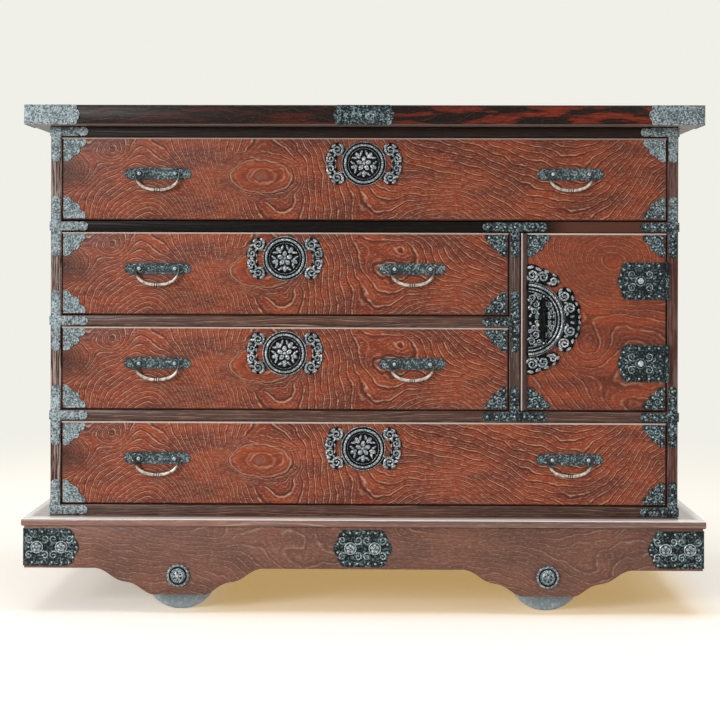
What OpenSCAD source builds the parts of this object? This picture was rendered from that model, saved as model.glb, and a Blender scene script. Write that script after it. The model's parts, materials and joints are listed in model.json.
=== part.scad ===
// Low wheeled chest: four drawers and one side door in a lacquered wooden case with iron
// fittings, on a scalloped base that rolls on four disc wheels.
// Millimetres. X runs along the front, Y from the front to the back, Z up from the floor.
// The origin is on the floor under the middle of the chest.

/* [Case] */
// Length of the case along its front
case_w = 702; // [640:1:900]
// Depth of the case from front to back
case_d = 374; // [300:1:460]
// Thickness of the side boards and of the upright partition
board_t = 12; // [10:0.5:18]
// Thickness of the rail, the dividers and the bottom board
rail_t = 12; // [11:0.5:18]
// Height of the opening of each of the four rows
row_h = 94; // [86:1:140]
// Width of the opening behind the door
door_open_w = 164; // [140:1:230]
// Depth of the rail over the top drawer
upper_rail_d = 60; // [30:1:120]
// Thickness of the back panel
back_t = 6; // [4:0.5:12]
// How far drawer fronts and door stand proud of the frame
front_proud = 1.5; // [1.3:0.1:3]

/* [Top board] */
// Thickness of the top board
top_t = 22; // [16:0.5:34]
// Overhang of the top board on all four sides of the case
top_overhang = 24; // [15:1:40]
// Eased edge of the top board and of the deck
board_ease = 1.2; // [0.5:0.1:2]

/* [Base] */
// Thickness of the deck board under the case
deck_t = 8.5; // [7:0.5:16]
// Overhang of the deck board on all four sides of the case
deck_overhang = 27; // [20:1:40]
// How far the skirt lies behind the edge of the deck
skirt_inset = 3; // [2:0.5:8]
// Thickness of the skirt boards
skirt_t = 22; // [18:0.5:28]
// Height of the skirt between its feet
skirt_h = 46.5; // [42:0.5:70]
// How far each foot drops below the skirt
foot_drop = 29; // [22:0.5:34]
// Width of the flat sole of a foot
foot_w = 60; // [50:1:80]
// Length of the scalloped run on each side of a foot
scallop_run = 62; // [50:1:70]
// Length of one wave of the scalloped run
scallop_wave = 34.7; // [28:0.1:45]
// Length of the run before its first wave turns up
scallop_lead = 11.1; // [8:0.1:14]
// Height of the waves of the scalloped run
scallop_height = 1.5; // [0.8:0.1:1.6]
// Gap between the soles of the feet and the floor
foot_clear = 20.5; // [18:0.5:24]

/* [Wheels] */
// Radius of the wheels
wheel_r = 42; // [38:0.5:46]
// Thickness of the wheel rims
wheel_t = 24; // [16:1:34]
// Distance from the middle of the chest to each axle
axle_x = 204; // [190:1:240]
// Radius of the axles
axle_r = 5; // [4:0.25:7]
// Radial running clearance of the wheels, and of the axles in the skirts
axle_fit = 0.05; // [0.02:0.01:0.08]
// Chamfer of the wheel rims
wheel_edge = 1.5; // [0.5:0.25:3]
// Radius of the raised hubs
hub_r = 14; // [12:0.5:18]
// How far the hubs stand out of the wheels' faces
hub_rise = 1.5; // [1:0.1:3]
// Gap at each end of a hub
hub_gap = 0.5; // [0.2:0.1:1]
// Radius of the collars that hold the wheels on
collar_r = 9; // [8:0.5:12]
// Length of the collars
collar_l = 8; // [5:0.5:12]

/* [Drawers] */
// Gap round a drawer front or the top and bottom of the door
reveal = 0.8; // [0.5:0.1:1.5]
// Gap under the running edges of a drawer
run_gap = 0.3; // [0.2:0.05:0.5]
// Gap between a closed drawer and the back panel
back_gap = 0.5; // [0.3:0.1:3]
// Thickness of the drawer fronts
front_t = 15; // [12:0.5:20]
// Chamfer round the drawer fronts and the door
front_chamfer = 1.8; // [1:0.1:2.5]
// Thickness of the sides and back of a drawer
box_t = 9; // [7:0.5:12]
// Height of the sides of a drawer
box_h = 84; // [60:1:85]
// How much lower than the sides the back of a drawer is
back_drop = 8; // [2:1:20]
// Thickness of a drawer's bottom
bottom_t = 5; // [4:0.5:8]
// Glue line between the boards of a drawer
glue_line = 0.05; // [0.02:0.01:0.1]
// Height of the drawer's bottom above the running edges
bottom_rise = 2; // [1:0.5:4]

/* [Iron plates] */
// Thickness of the flat iron plates
plate_t = 1.2; // [1:0.1:1.3]
// Width of the straps on the frame
strap_w = 10; // [8:0.5:11]
// Reach of the straps along the rails, from the posts
strap_reach = 30; // [22:1:40]
// Reach of the straps along the posts, from the rails
strap_leg = 28; // [20:1:34]
// Reach of the straps round the corners of the case
strap_wrap = 26; // [16:1:40]
// Size of the corner plates on the drawers and the door
corner_size = 25; // [20:0.5:26]
// Radius of the lobes on the slanted edge of a corner plate
corner_lobe_r = 6; // [5:0.25:6.5]
// Distance from the corner of a corner plate to the middle of its slanted edge's middle lobe
corner_lobe_x = 12.2; // [10:0.2:13]
// Length of the caps on the corners of the top board, without their lobes
cap_l = 57.5; // [44:0.5:70]
// Length of the plate at the middle of the top board, without its lobes
top_plate_l = 62; // [40:1:90]
// Rounding of the corners of the top board's plates
top_plate_round = 2.5; // [1:0.25:3]
// Radius of the lobes at the ends of the top board's plates
top_lobe_r = 7.5; // [6:0.25:7.5]
// How far these lobes reach past the ends of their plates
top_lobe_reach = 3; // [2:0.25:4]
// Length of the base's corner plates, without their lobes
base_corner_l = 55.5; // [48:0.5:64]
// Length of the base's middle plate, without its lobes
base_plate_l = 54.5; // [50:0.5:70]
// Height of the base's plates
base_plate_h = 41; // [38:0.5:42]
// Rounding of the corners of the base's plates
base_plate_round = 9; // [4:0.5:9]
// Radius of the lobes at the ends of the base's plates
base_lobe_r = 12; // [8:0.5:12]
// How far these lobes reach past the ends of their plates
base_lobe_reach = 5; // [3:0.5:7]
// Distance between the two studs of a plate
stud_span = 27; // [24:0.5:32]
// Radius of the studs
stud_r = 5; // [4:0.25:6]
// Radius of the dome in the middle of a stud
stud_dome_r = 3; // [2.5:0.25:3.5]
// Height of the petals of a stud
stud_petal_h = 2; // [1:0.25:2.25]
// Height of the studs
stud_h = 4; // [2.5:0.25:6]
// Distance from the end of the base to its first stud
stud_inset = 14.5; // [12:0.5:16]
// Radius of the petal ring of a rosette cap
rosette_r = 12.8; // [11:0.2:14]
// Radius of the dome of a rosette cap
rosette_dome_r = 8.7; // [7:0.1:9.5]
// Number of petals on a rosette cap
rosette_petals = 16; // [12:1:20]
// Thickness of the petal ring
rosette_ring_h = 3; // [2:0.25:4]
// Height of the dome over the petal ring
rosette_dome_h = 4.5; // [3:0.25:6]

/* [Drawer handles] */
// Distance from the ends of a drawer's opening to the middle of its handles
handle_inset = 108.5; // [90:0.5:110]
// Depth of the handle pivots below the top of the drawer front
handle_drop = 40.5; // [40:0.5:46]
// Length of the straight part of a handle's backplate
backplate_l = 54; // [48:1:58]
// Height of the backplate
backplate_h = 13; // [12:0.5:16]
// Radius of the lobes at the ends of the backplate
backplate_lobe_r = 6.2; // [5.8:0.1:7]
// How far these lobes reach past the straight part
backplate_lobe_reach = 10.2; // [8:0.2:11]
// Distance from the middle of a handle to each post
post_x = 20; // [18:0.5:21]
// Radius of the ball heads of the posts
post_ball_r = 2.9; // [2.8:0.1:3.2]
// Radius of the posts' shanks
post_shank_r = 1.8; // [1.5:0.1:2.4]
// Distance from the drawer's face to the pivots
post_reach = 6.5; // [6:0.25:9]
// Gap between a post's ball head and the bail's leg
bail_gap = 0.3; // [0.2:0.05:0.6]
// Drop of the bail's middle line below its pivots
bail_drop = 18.3; // [17.8:0.1:22]
// Bend radius of the bail's shoulders
bail_shoulder_r = 17; // [15.5:0.1:17.5]
// Radius of the bail's bar at its middle
bail_bar_r = 2.1; // [1.8:0.05:2.4]
// Radius of the bail's legs at its pins
bail_leg_r = 1.5; // [1.5:0.05:1.7]
// Radius of the pins of the bail
bail_pin_r = 1.42; // [1.2:0.02:1.44]
// Radial clearance of the bail's pins in the posts
bail_fit = 0.06; // [0.03:0.01:0.09]

/* [Drawer lock plates] */
// Depth of the middle of a lock plate below the top of the drawer front
lock_drop = 29; // [28.5:0.5:34]
// Thickness of the lock plates
lock_t = 1.6; // [1.2:0.1:2]
// Radius of the disc of a lock plate
lock_disc_r = 25; // [24:0.25:26]
// Outer radius of the ring
lock_ring_r = 23; // [21:0.25:23.5]
// Width of the ring
lock_ring_w = 5.5; // [4:0.25:7]
// Height of the ring over the drawer's face
lock_ring_h = 4.4; // [3:0.1:6]
// Radius of the blossom inside the ring
lock_blossom_r = 15.5; // [12:0.25:16.5]
// Height of the blossom over its disc
lock_blossom_h = 1.4; // [0.8:0.1:2.4]
// Width of the openings beside the ring
lock_slot_w = 6; // [4.5:0.25:7]
// Height of the openings beside the ring
lock_slot_h = 19; // [14:0.5:21]
// Distance from the ring to the openings beside it
lock_slot_gap = 0.5; // [0.25:0.25:2]

/* [Door] */
// Thickness of the door
door_t = 12; // [10:0.5:12.5]
// Gap at each upright edge of the door
door_gap = 1; // [0.9:0.05:1.4]
// Bevel on the back of the door's closing edge
door_back_bevel = 1.5; // [1:0.1:3]
// Width of the bevelled strip on the door's closing edge
strip_w = 7; // [6:0.2:10]
// How far the strip stands out of the door's face
strip_proud = 4; // [3:0.25:6]
// Bevel round the strip
strip_bevel = 2.5; // [1.5:0.1:2.9]
// Side of the square stop behind the door
door_stop = 8; // [6:0.5:12]
// Radius of the half ring on the door's lock plate
door_ring_r = 40; // [36:0.5:42]
// How far the middle of the lock plate lies above the middle of the door
door_lock_rise = 2.8; // [0:0.2:6]
// Width of the half ring
door_ring_w = 6.5; // [4:0.5:8]
// Rim of the plate outside the half ring
door_ring_rim = 2; // [1:0.5:4]
// Height of the half ring over the door's face
door_ring_h = 5; // [3.5:0.1:6]
// Distance from the strip to the upright bar pull
pull_x = 17.4; // [14:0.2:22]
// Half the distance between the two studs of the pull
pull_reach = 26; // [20:0.5:28]
// Radius of the pull's bar
pull_r = 2.3; // [1.8:0.1:2.8]
// Radius of the pull's studs
pull_stud_r = 3.6; // [3:0.1:4.5]
// Height of the domed heads of the pull's studs
pull_head_h = 1.5; // [0.8:0.1:2.5]
// Distance from the door's face to the middle of the pull's bar
pull_stand = 7.5; // [6:0.25:10]

/* [Hinges] */
// Height of the hinges
hinge_h = 41.5; // [36:0.5:46]
// Length of a door leaf, without its lobe
hinge_leaf_l = 51.7; // [42:0.1:54]
// Rounding of the corners of a door leaf
hinge_round = 8; // [4:0.5:8]
// Radius of the lobe at the end of a door leaf
hinge_lobe_r = 13.5; // [10:0.5:13.5]
// How far this lobe reaches past the end of the leaf
hinge_lobe_reach = 3.5; // [2:0.5:5]
// Distance from the top and bottom of the opening to the middle of the hinges
hinge_inset = 54; // [52:1:62]
// Radius of the knuckles
knuckle_r = 2.4; // [2.2:0.05:2.45]
// Radius of the hinge pins
hinge_pin_r = 1.2; // [1:0.05:1.3]
// Radial clearance of the hinge pins
hinge_fit = 0.04; // [0.02:0.01:0.06]
// Gap between neighbouring knuckles
knuckle_gap = 0.3; // [0.2:0.05:0.5]
// Length of the leaf let into the post
post_leaf_l = 28; // [20:1:40]
// Radius of the stud in the middle of a door leaf
hinge_stud_r = 4.3; // [3.5:0.1:5]
// Height of the stud in the middle of a door leaf
hinge_stud_h = 3; // [2:0.25:4]
// Distance from the hinge's axis to the stud
hinge_stud_x = 29.5; // [20:0.5:36]
// Gap between the knuckles and the door's face
knuckle_stand = 0.1; // [0.05:0.05:0.3]

/* [Hidden] */
$fn = 48;

// Colours
dark_wood = [0.24, 0.10, 0.07];
red_wood = [0.60, 0.25, 0.16];
skirt_wood = [0.47, 0.26, 0.20];
plain_wood = [0.72, 0.56, 0.38];
iron = [0.26, 0.29, 0.31];
dark_iron = [0.16, 0.18, 0.19];
wheel_grey = [0.46, 0.50, 0.52];

// How far a cut runs past what it cuts
cut = 1;

// Petals of a plum blossom
petals = 5;

// Levels, counted up from the floor
rows = 4;
skirt_z = foot_clear + foot_drop;
deck_z = skirt_z + skirt_h;
case_z = deck_z + deck_t;
case_h = rows * row_h + (rows + 1) * rail_t;
top_z = case_z + case_h;

// Depths and widths
half_w = case_w / 2;
front_y = -case_d / 2;
back_y = case_d / 2;
face_y = front_y - front_proud;
inner_w = half_w - board_t;
inner_back_y = back_y - back_t;
door_x0 = inner_w - door_open_w;
partition_x0 = door_x0 - board_t;
skirt_w = case_w + 2 * (deck_overhang - skirt_inset);
skirt_d = case_d + 2 * (deck_overhang - skirt_inset);
skirt_y = -skirt_d / 2;

// Bottom of the opening of row n, counted from the top
function row_z(n) = case_z + rail_t + (rows - n) * (row_h + rail_t);
// Rows 1 and 4 run the full length, rows 2 and 3 end at the partition
function drawer_x1(n) = n == 1 || n == rows ? inner_w : partition_x0;
function drawer_mid(n) = (drawer_x1(n) - inner_w) / 2;
function front_top(n) = row_z(n) + row_h - reveal;
door_z0 = row_z(3);
door_z1 = row_z(2) + row_h;
door_mid_z = (door_z0 + door_z1) / 2;

// A block between two corners
module block(low, high) {
  translate(low) cube(high - low);
}

// Lays an outline drawn in X and Z on the plane at y, and thickens it towards the front
module on_front(y, t) {
  translate([0, y, 0]) rotate([90, 0, 0]) linear_extrude(t) children();
}

// Lays an outline drawn in Y and Z on the plane at x, and thickens it towards +X
module on_side(x, t) {
  translate([x, 0, 0]) rotate([90, 0, 90]) linear_extrude(t) children();
}

// Draws its children, and again mirrored left to right
module both_sides() {
  children();
  mirror([1, 0, 0]) children();
}

// A rectangle with its four corners cut by c
function eased(x0, y0, x1, y1, c) = [
  [x0 + c, y0], [x1 - c, y0], [x1, y0 + c], [x1, y1 - c],
  [x1 - c, y1], [x0 + c, y1], [x0, y1 - c], [x0, y0 + c]
];

// A rectangle with only its two corners at y0 cut by c, and the corner x0,y1 by back
function faced(x0, y0, x1, y1, c, back) = [
  [x0 + c, y0], [x1 - c, y0], [x1, y0 + c], [x1, y1], [x0 + back, y1], [x0, y1 - back], [x0, y0 + c]
];

// A board with eased edges, centred on the chest
module eased_board(w, d, z0, z1, ease) {
  intersection() {
    on_front(d / 2, d) polygon(eased(-w / 2, z0, w / 2, z1, ease));
    on_side(-w / 2, w) polygon(eased(-d / 2, z0, d / 2, z1, ease));
  }
}

// An upright panel whose front is chamfered all round; back bevels the rear of its left edge
module faced_panel(x0, x1, z0, z1, y, t, chamfer, back = 0) {
  intersection() {
    translate([0, 0, z0]) linear_extrude(z1 - z0) polygon(faced(x0, y, x1, y + t, chamfer, back));
    on_side(x0, x1 - x0)
      polygon([[y, z0 + chamfer], [y + chamfer, z0], [y + t, z0], [y + t, z1], [y + chamfer, z1], [y, z1 - chamfer]]);
  }
}

// ---- Case ----

module top_board() {
  color(dark_wood)
    eased_board(case_w + 2 * top_overhang, case_d + 2 * top_overhang, top_z, top_z + top_t, board_ease);
}

module side_board() {
  block([-half_w, front_y, case_z], [-inner_w, back_y, top_z]);
}

module side_left() {
  color(dark_wood) side_board();
}

// The right side holds the hinges, so the leaves are let into its inner face
module side_right() {
  color(dark_wood) difference() {
    mirror([1, 0, 0]) side_board();
    for (z = hinge_levels)
      block([inner_w - cut, front_y - cut, z - hinge_h / 2],
        [inner_w + plate_t, front_y + post_leaf_l, z + hinge_h / 2]);
  }
}

module upper_rail() {
  color(dark_wood)
    block([-inner_w, front_y, top_z - rail_t], [inner_w, front_y + upper_rail_d, top_z]);
}

// A board across the case whose top is the floor of row n
module divider(n, x1) {
  block([-inner_w, front_y, row_z(n) - rail_t], [x1, inner_back_y, row_z(n)]);
}

module divider_upper() {
  color(dark_wood) divider(1, inner_w);
}

module divider_middle() {
  color(dark_wood) divider(2, partition_x0);
}

module divider_lower() {
  color(dark_wood) divider(3, inner_w);
}

module bottom_board() {
  color(dark_wood) divider(rows, inner_w);
}

module partition() {
  color(dark_wood) block([partition_x0, front_y, door_z0], [door_x0, inner_back_y, door_z1]);
}

module back_panel() {
  color(plain_wood) block([-inner_w, inner_back_y, case_z], [inner_w, back_y, top_z]);
}

module door_stop_strip() {
  stop_y = face_y + door_t + run_gap;
  color(plain_wood) block([door_x0, stop_y, door_z0], [door_x0 + door_stop, stop_y + door_stop, door_z1]);
}

// ---- Iron plates on the case ----

// A strap from the origin along +X with a round tip behind two small nicks
module strap(reach) {
  tip_r = strap_w / 2;
  nick_r = strap_w / 8;
  difference() {
    union() {
      translate([0, -tip_r]) square([reach - tip_r, strap_w]);
      translate([reach - tip_r, 0]) circle(tip_r);
    }
    for (side = [-1, 1]) translate([reach - 2 * tip_r, side * tip_r]) circle(nick_r);
  }
}

// A plate on the left post at level z: a strap along the rail and legs up and down the post
module post_plate(z, up, down) {
  post_mid = -inner_w - board_t / 2;
  translate([-half_w, z - strap_w / 2]) square([board_t, strap_w]);
  translate([-inner_w, z]) strap(strap_reach);
  if (up) translate([post_mid, z]) rotate(90) strap(rail_t / 2 + strap_leg);
  if (down) translate([post_mid, z]) rotate(-90) strap(rail_t / 2 + strap_leg);
}

// The same plate turned round the corner of the case onto its side
module post_plate_wrap(z) {
  on_side(-half_w - plate_t, plate_t) translate([front_y - plate_t, z]) strap(strap_wrap);
}

// A plate on the partition at level z, with a strap to the left and maybe to the right
module partition_plate(z, right, up, down) {
  partition_mid = partition_x0 + board_t / 2;
  translate([partition_x0, z - strap_w / 2]) square([board_t, strap_w]);
  translate([partition_x0, z]) rotate(180) strap(strap_reach);
  if (right) translate([door_x0, z]) strap(strap_reach);
  if (up) translate([partition_mid, z]) rotate(90) strap(rail_t / 2 + strap_leg);
  if (down) translate([partition_mid, z]) rotate(-90) strap(rail_t / 2 + strap_leg);
}

function rail_mid(n) = row_z(n) - rail_t / 2;
top_rail_mid = top_z - rail_t / 2;

module frame_plate(z, up, down) {
  on_front(front_y, plate_t) post_plate(z, up, down);
  post_plate_wrap(z);
}

module frame_plates() {
  color(iron) {
    both_sides() {
      frame_plate(top_rail_mid, false, true);
      frame_plate(rail_mid(1), true, true);
      frame_plate(rail_mid(3), true, true);
      frame_plate(rail_mid(rows), true, false);
    }
    frame_plate(rail_mid(2), true, true);
    on_front(front_y, plate_t) {
      partition_plate(rail_mid(1), true, false, true);
      partition_plate(rail_mid(2), false, true, true);
      partition_plate(rail_mid(3), true, true, false);
    }
  }
}

// A plate of length l and height h from the origin along +X. Its end has two rounded corners, with a
// lobe between them that reaches out past them
module lobed_plate(l, h, corner_r, lobe_r, reach) {
  translate([0, -h / 2]) square([l - corner_r, h]);
  translate([0, corner_r - h / 2]) square([l, h - 2 * corner_r]);
  for (side = [-1, 1]) translate([l - corner_r, side * (h / 2 - corner_r)]) circle(corner_r);
  translate([l + reach - lobe_r, 0]) circle(lobe_r);
}

// The same with such an end on the left and on the right, centred
module middle_plate(l, h, corner_r, lobe_r, reach) {
  both_sides() lobed_plate(l / 2, h, corner_r, lobe_r, reach);
}

module top_plates() {
  top_mid = top_z + top_t / 2;
  top_y = front_y - top_overhang;
  end_x = half_w + top_overhang;
  color(iron) {
    both_sides() {
      on_front(top_y, plate_t) translate([-end_x, top_mid]) cap();
      on_side(-end_x - plate_t, plate_t) translate([top_y - plate_t, top_mid]) cap();
    }
    on_front(top_y, plate_t)
      translate([0, top_mid]) middle_plate(top_plate_l, top_t, top_plate_round, top_lobe_r, top_lobe_reach);
  }
}

module cap() {
  lobed_plate(cap_l, top_t, top_plate_round, top_lobe_r, top_lobe_reach);
}

// ---- Base ----

module deck() {
  color(red_wood)
    eased_board(case_w + 2 * deck_overhang, case_d + 2 * deck_overhang, deck_z, case_z, board_ease);
}

// Height of the scalloped edge at a distance s outward from the sole of a foot
function wave(s) = scallop_height * sin(360 * (s - scallop_lead) / scallop_wave);
scallop_slope = (foot_drop - wave(scallop_run) + wave(0)) / scallop_run;
function scallop_z(s) = scallop_slope * s + wave(s) - wave(0);

scallop_steps = 24;
function scallop_points(side) = [
  for (i = [0 : scallop_steps])
    let (s = scallop_run * (side > 0 ? i : scallop_steps - i) / scallop_steps)
    [side * (foot_w / 2 + s), foot_clear + scallop_z(s)]
];

// The outline of the front and back skirts, with a foot round each axle
module skirt_outline() {
  feet = [
    for (foot = [-axle_x, axle_x]) each [
      for (p = concat(scallop_points(-1), scallop_points(1))) [foot + p[0], p[1]]
    ]
  ];
  polygon(concat([[-skirt_w / 2, deck_z], [-skirt_w / 2, skirt_z]], feet,
    [[skirt_w / 2, skirt_z], [skirt_w / 2, deck_z]]));
}

module skirt_board(y) {
  difference() {
    on_front(y, skirt_t) skirt_outline();
    for (x = [-axle_x, axle_x])
      translate([x, y + cut, wheel_r]) rotate([90, 0, 0])
        cylinder(h = skirt_t + 2 * cut, r = axle_r + axle_fit);
  }
}

module skirt_front() {
  color(skirt_wood) skirt_board(skirt_y + skirt_t);
}

module skirt_back() {
  color(skirt_wood) skirt_board(-skirt_y);
}

module skirt_ends() {
  color(skirt_wood) both_sides()
    block([-skirt_w / 2, skirt_y + skirt_t, skirt_z], [-skirt_w / 2 + skirt_t, -skirt_y - skirt_t, deck_z]);
}

// Distance from the middle of the chest to the outer face of the wheels' hubs and rims
hub_y = -skirt_y - skirt_t - hub_gap;
rim_y = hub_y - hub_rise;
wheel_back_y = rim_y - wheel_t;
collar_y = wheel_back_y - hub_rise - hub_gap;

module axles() {
  color(dark_iron) for (x = [-axle_x, axle_x]) translate([x, 0, wheel_r]) rotate([90, 0, 0]) {
    cylinder(h = skirt_d, r = axle_r, center = true);
    for (end = [-1, 1])
      translate([0, 0, end * (collar_y - collar_l / 2)]) cylinder(h = collar_l, r = collar_r, center = true);
  }
}

module wheel(x, side) {
  half_t = wheel_t / 2;
  half_hub = half_t + hub_rise;
  color(wheel_grey)
    translate([x, side * (rim_y - half_t), wheel_r]) rotate([90, 0, 0]) difference() {
      rotate_extrude() polygon([
        [0, -half_hub], [hub_r, -half_hub], [hub_r, -half_t],
        [wheel_r - wheel_edge, -half_t], [wheel_r, wheel_edge - half_t],
        [wheel_r, half_t - wheel_edge], [wheel_r - wheel_edge, half_t],
        [hub_r, half_t], [hub_r, half_hub], [0, half_hub]
      ]);
      cylinder(h = 2 * (half_hub + cut), r = axle_r + axle_fit, center = true);
    }
}

// A cap over an axle's end, drawn on the origin and standing up from it
module rosette() {
  petal_r = PI * rosette_r / rosette_petals;
  linear_extrude(rosette_ring_h) {
    circle(rosette_r - petal_r);
    for (i = [0 : rosette_petals - 1])
      rotate(i * 360 / rosette_petals) translate([rosette_r - petal_r, 0]) circle(petal_r);
  }
  dome(rosette_dome_r, rosette_dome_h, rosette_ring_h);
}

// A cap of a sphere with the given foot radius and height, its foot at level z
module dome(r, h, z) {
  ball_r = (r * r + h * h) / (2 * h);
  rotate_extrude() intersection() {
    translate([0, z + h - ball_r]) circle(ball_r);
    translate([0, z]) square([ball_r, ball_r]);
  }
}

module axle_rosettes() {
  color(dark_iron) for (x = [-axle_x, axle_x], turn = [0, 180])
    rotate(turn) translate([x, skirt_y, wheel_r]) rotate([90, 0, 0]) rosette();
}

module base_plates() {
  end_x = skirt_w / 2;
  plate_mid = skirt_z + skirt_h / 2;
  color(iron) {
    both_sides() {
      on_front(skirt_y, plate_t) translate([-end_x, plate_mid]) base_corner();
      on_side(-end_x - plate_t, plate_t) translate([skirt_y - plate_t, plate_mid]) base_corner();
    }
    on_front(skirt_y, plate_t) translate([0, plate_mid])
      middle_plate(base_plate_l, base_plate_h, base_plate_round, base_lobe_r, base_lobe_reach);
  }
}

module base_corner() {
  lobed_plate(base_corner_l, base_plate_h, base_plate_round, base_lobe_r, base_lobe_reach);
}

// A stud like a five-petalled blossom, standing up from the origin
module blossom_stud() {
  petal_r = stud_r / 2;
  for (i = [0 : petals - 1])
    rotate(90 + i * 360 / petals) translate([stud_r - petal_r, 0, 0]) cylinder(h = stud_petal_h, r = petal_r);
  cylinder(h = stud_petal_h, r = stud_dome_r);
  dome(stud_dome_r, stud_h - stud_petal_h, stud_petal_h);
}

module base_studs() {
  first_x = skirt_w / 2 - stud_inset;
  xs = [-first_x, stud_span - first_x, -stud_span / 2, stud_span / 2, first_x - stud_span, first_x];
  color(dark_iron) for (x = xs)
    translate([x, skirt_y - plate_t, skirt_z + skirt_h / 2]) rotate([90, 0, 0]) blossom_stud();
}

module wheel_front_left() { wheel(-axle_x, -1); }
module wheel_front_right() { wheel(axle_x, -1); }
module wheel_back_left() { wheel(-axle_x, 1); }
module wheel_back_right() { wheel(axle_x, 1); }

// ---- Corner plates of the drawers and the door ----

// A corner plate with its square corner on the origin, its slanted edge in three lobes
module corner_plate() {
  reach = corner_size - corner_lobe_r;
  low = corner_lobe_r / 2;
  intersection() {
    square(corner_size);
    union() {
      square(corner_lobe_x);
      square([reach, low + corner_lobe_r]);
      square([low + corner_lobe_r, reach]);
      for (at = [[reach, low], [corner_lobe_x, corner_lobe_x], [low, reach]]) translate(at) circle(corner_lobe_r);
    }
  }
}

// Four corner plates inside the rectangle
module corner_plates(x0, x1, z0, z1) {
  on_front(face_y, plate_t)
    for (x = [x0, x1], z = [z0, z1])
      translate([x, z]) scale([x == x0 ? 1 : -1, z == z0 ? 1 : -1]) corner_plate();
}

// ---- Drawers ----

module drawer_front(n) {
  color(red_wood)
    faced_panel(reveal - inner_w, drawer_x1(n) - reveal, row_z(n) + reveal, front_top(n),
      face_y, front_t, front_chamfer);
}

// Two sides, a back and a bottom behind the front
module drawer_box(n) {
  x0 = reveal - inner_w;
  x1 = drawer_x1(n) - reveal;
  y0 = face_y + front_t;
  y1 = inner_back_y - back_gap;
  z0 = row_z(n) + run_gap;
  z1 = z0 + box_h;
  inner_x0 = x0 + box_t + glue_line;
  inner_x1 = x1 - box_t - glue_line;
  inner_y1 = y1 - box_t;
  bottom_z = z0 + bottom_rise;
  color(plain_wood) {
    block([x0, y0, z0], [x0 + box_t, y1, z1]);
    block([x1 - box_t, y0, z0], [x1, y1, z1]);
    block([inner_x0, inner_y1, z0], [inner_x1, y1, z1 - back_drop]);
    block([inner_x0, y0, bottom_z], [inner_x1, inner_y1 - glue_line, bottom_z + bottom_t]);
  }
}

module drawer_corner_plates(n) {
  inset = reveal + front_chamfer;
  color(iron)
    corner_plates(inset - inner_w, drawer_x1(n) - inset, row_z(n) + inset, row_z(n) + row_h - inset);
}

// A round plate with a raised ring and a blossom, between two open leaf scrolls
module drawer_lock_plate(n) {
  // Across, up and radius of the lobes of a leaf scroll, in radii of the disc
  leaves = lock_disc_r * [[1.2, 0.58, 0.36], [1.48, 0.2, 0.26], [1.46, -0.24, 0.26], [1.16, -0.58, 0.36]];
  slot_x = lock_ring_r + lock_slot_gap + lock_slot_w / 2;
  color(dark_iron) translate([drawer_mid(n), face_y, front_top(n) - lock_drop]) rotate([90, 0, 0]) {
    linear_extrude(lock_t) difference() {
      union() {
        circle(lock_disc_r);
        for (side = [-1, 1], leaf = leaves) translate([side * leaf[0], leaf[1]]) circle(leaf[2]);
      }
      for (side = [-1, 1])
        translate([side * slot_x, 0]) square([lock_slot_w, lock_slot_h], center = true);
    }
    ring(lock_ring_r, lock_ring_w, lock_ring_h);
    blossom(lock_blossom_r, lock_t, lock_t + lock_blossom_h);
  }
}

// A raised ring with eased edges, standing up from the origin
module ring(r, w, h) {
  ease = w / 4;
  rotate_extrude() polygon([
    [r - w, 0], [r, 0], [r, h - ease], [r - ease, h], [r - w + ease, h], [r - w, h - ease]
  ]);
}

// A flower of five petals over five leaves, inside radius r, standing from level z to level top.
module blossom(r, z, top) {
  leaf_r = r / 4;
  petal_r = r / 4.5;
  root = z / 2;
  for (i = [0 : petals - 1]) {
    turn = 90 + i * 360 / petals;
    rotate(turn + 180 / petals) translate([r - leaf_r, 0, root]) cylinder(h = (z + top) / 2 - root, r = leaf_r);
    rotate(turn) translate([r / 3, 0, root]) cylinder(h = top - root, r = petal_r);
  }
  translate([0, 0, root]) cylinder(h = top - root, r = petal_r);
}

function handle_x(n, side) = drawer_mid(n) + side * ((drawer_x1(n) + inner_w) / 2 - handle_inset);
function handle_z(n) = front_top(n) - handle_drop;
pivot_y = face_y - post_reach;

// A backplate, and two posts whose ball heads are bored along X for the bail
module handle_plate(x, z) {
  lobe_x = backplate_l / 2 + backplate_lobe_reach - backplate_lobe_r;
  on_front(face_y, plate_t) translate([x, z]) {
    square([backplate_l, backplate_h], center = true);
    for (side = [-1, 1]) translate([side * lobe_x, 0]) circle(backplate_lobe_r);
  }
  difference() {
    for (side = [-1, 1]) translate([x + side * post_x, face_y - plate_t / 2, z]) rotate([90, 0, 0]) {
      cylinder(h = post_reach - plate_t / 2, r = post_shank_r);
      translate([0, 0, post_reach - plate_t / 2]) sphere(post_ball_r);
    }
    translate([x, pivot_y, z]) rotate([0, 90, 0])
      cylinder(h = 2 * (post_x + post_ball_r + cut), r = bail_pin_r + bail_fit, center = true);
  }
}

module drawer_handle_plates(n) {
  color(iron) for (side = [-1, 1]) handle_plate(handle_x(n, side), handle_z(n));
}

// The bail's middle line: a shoulder arc on each side and a flatter arc between them
bail_x = post_x + post_ball_r + bail_gap + bail_leg_r;
shoulder_x = bail_x - bail_shoulder_r;
belly_r = (shoulder_x * shoulder_x + bail_drop * bail_drop - bail_shoulder_r * bail_shoulder_r)
  / (2 * (bail_drop - bail_shoulder_r));
belly_turn = atan2(belly_r - bail_drop, shoulder_x);

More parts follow.
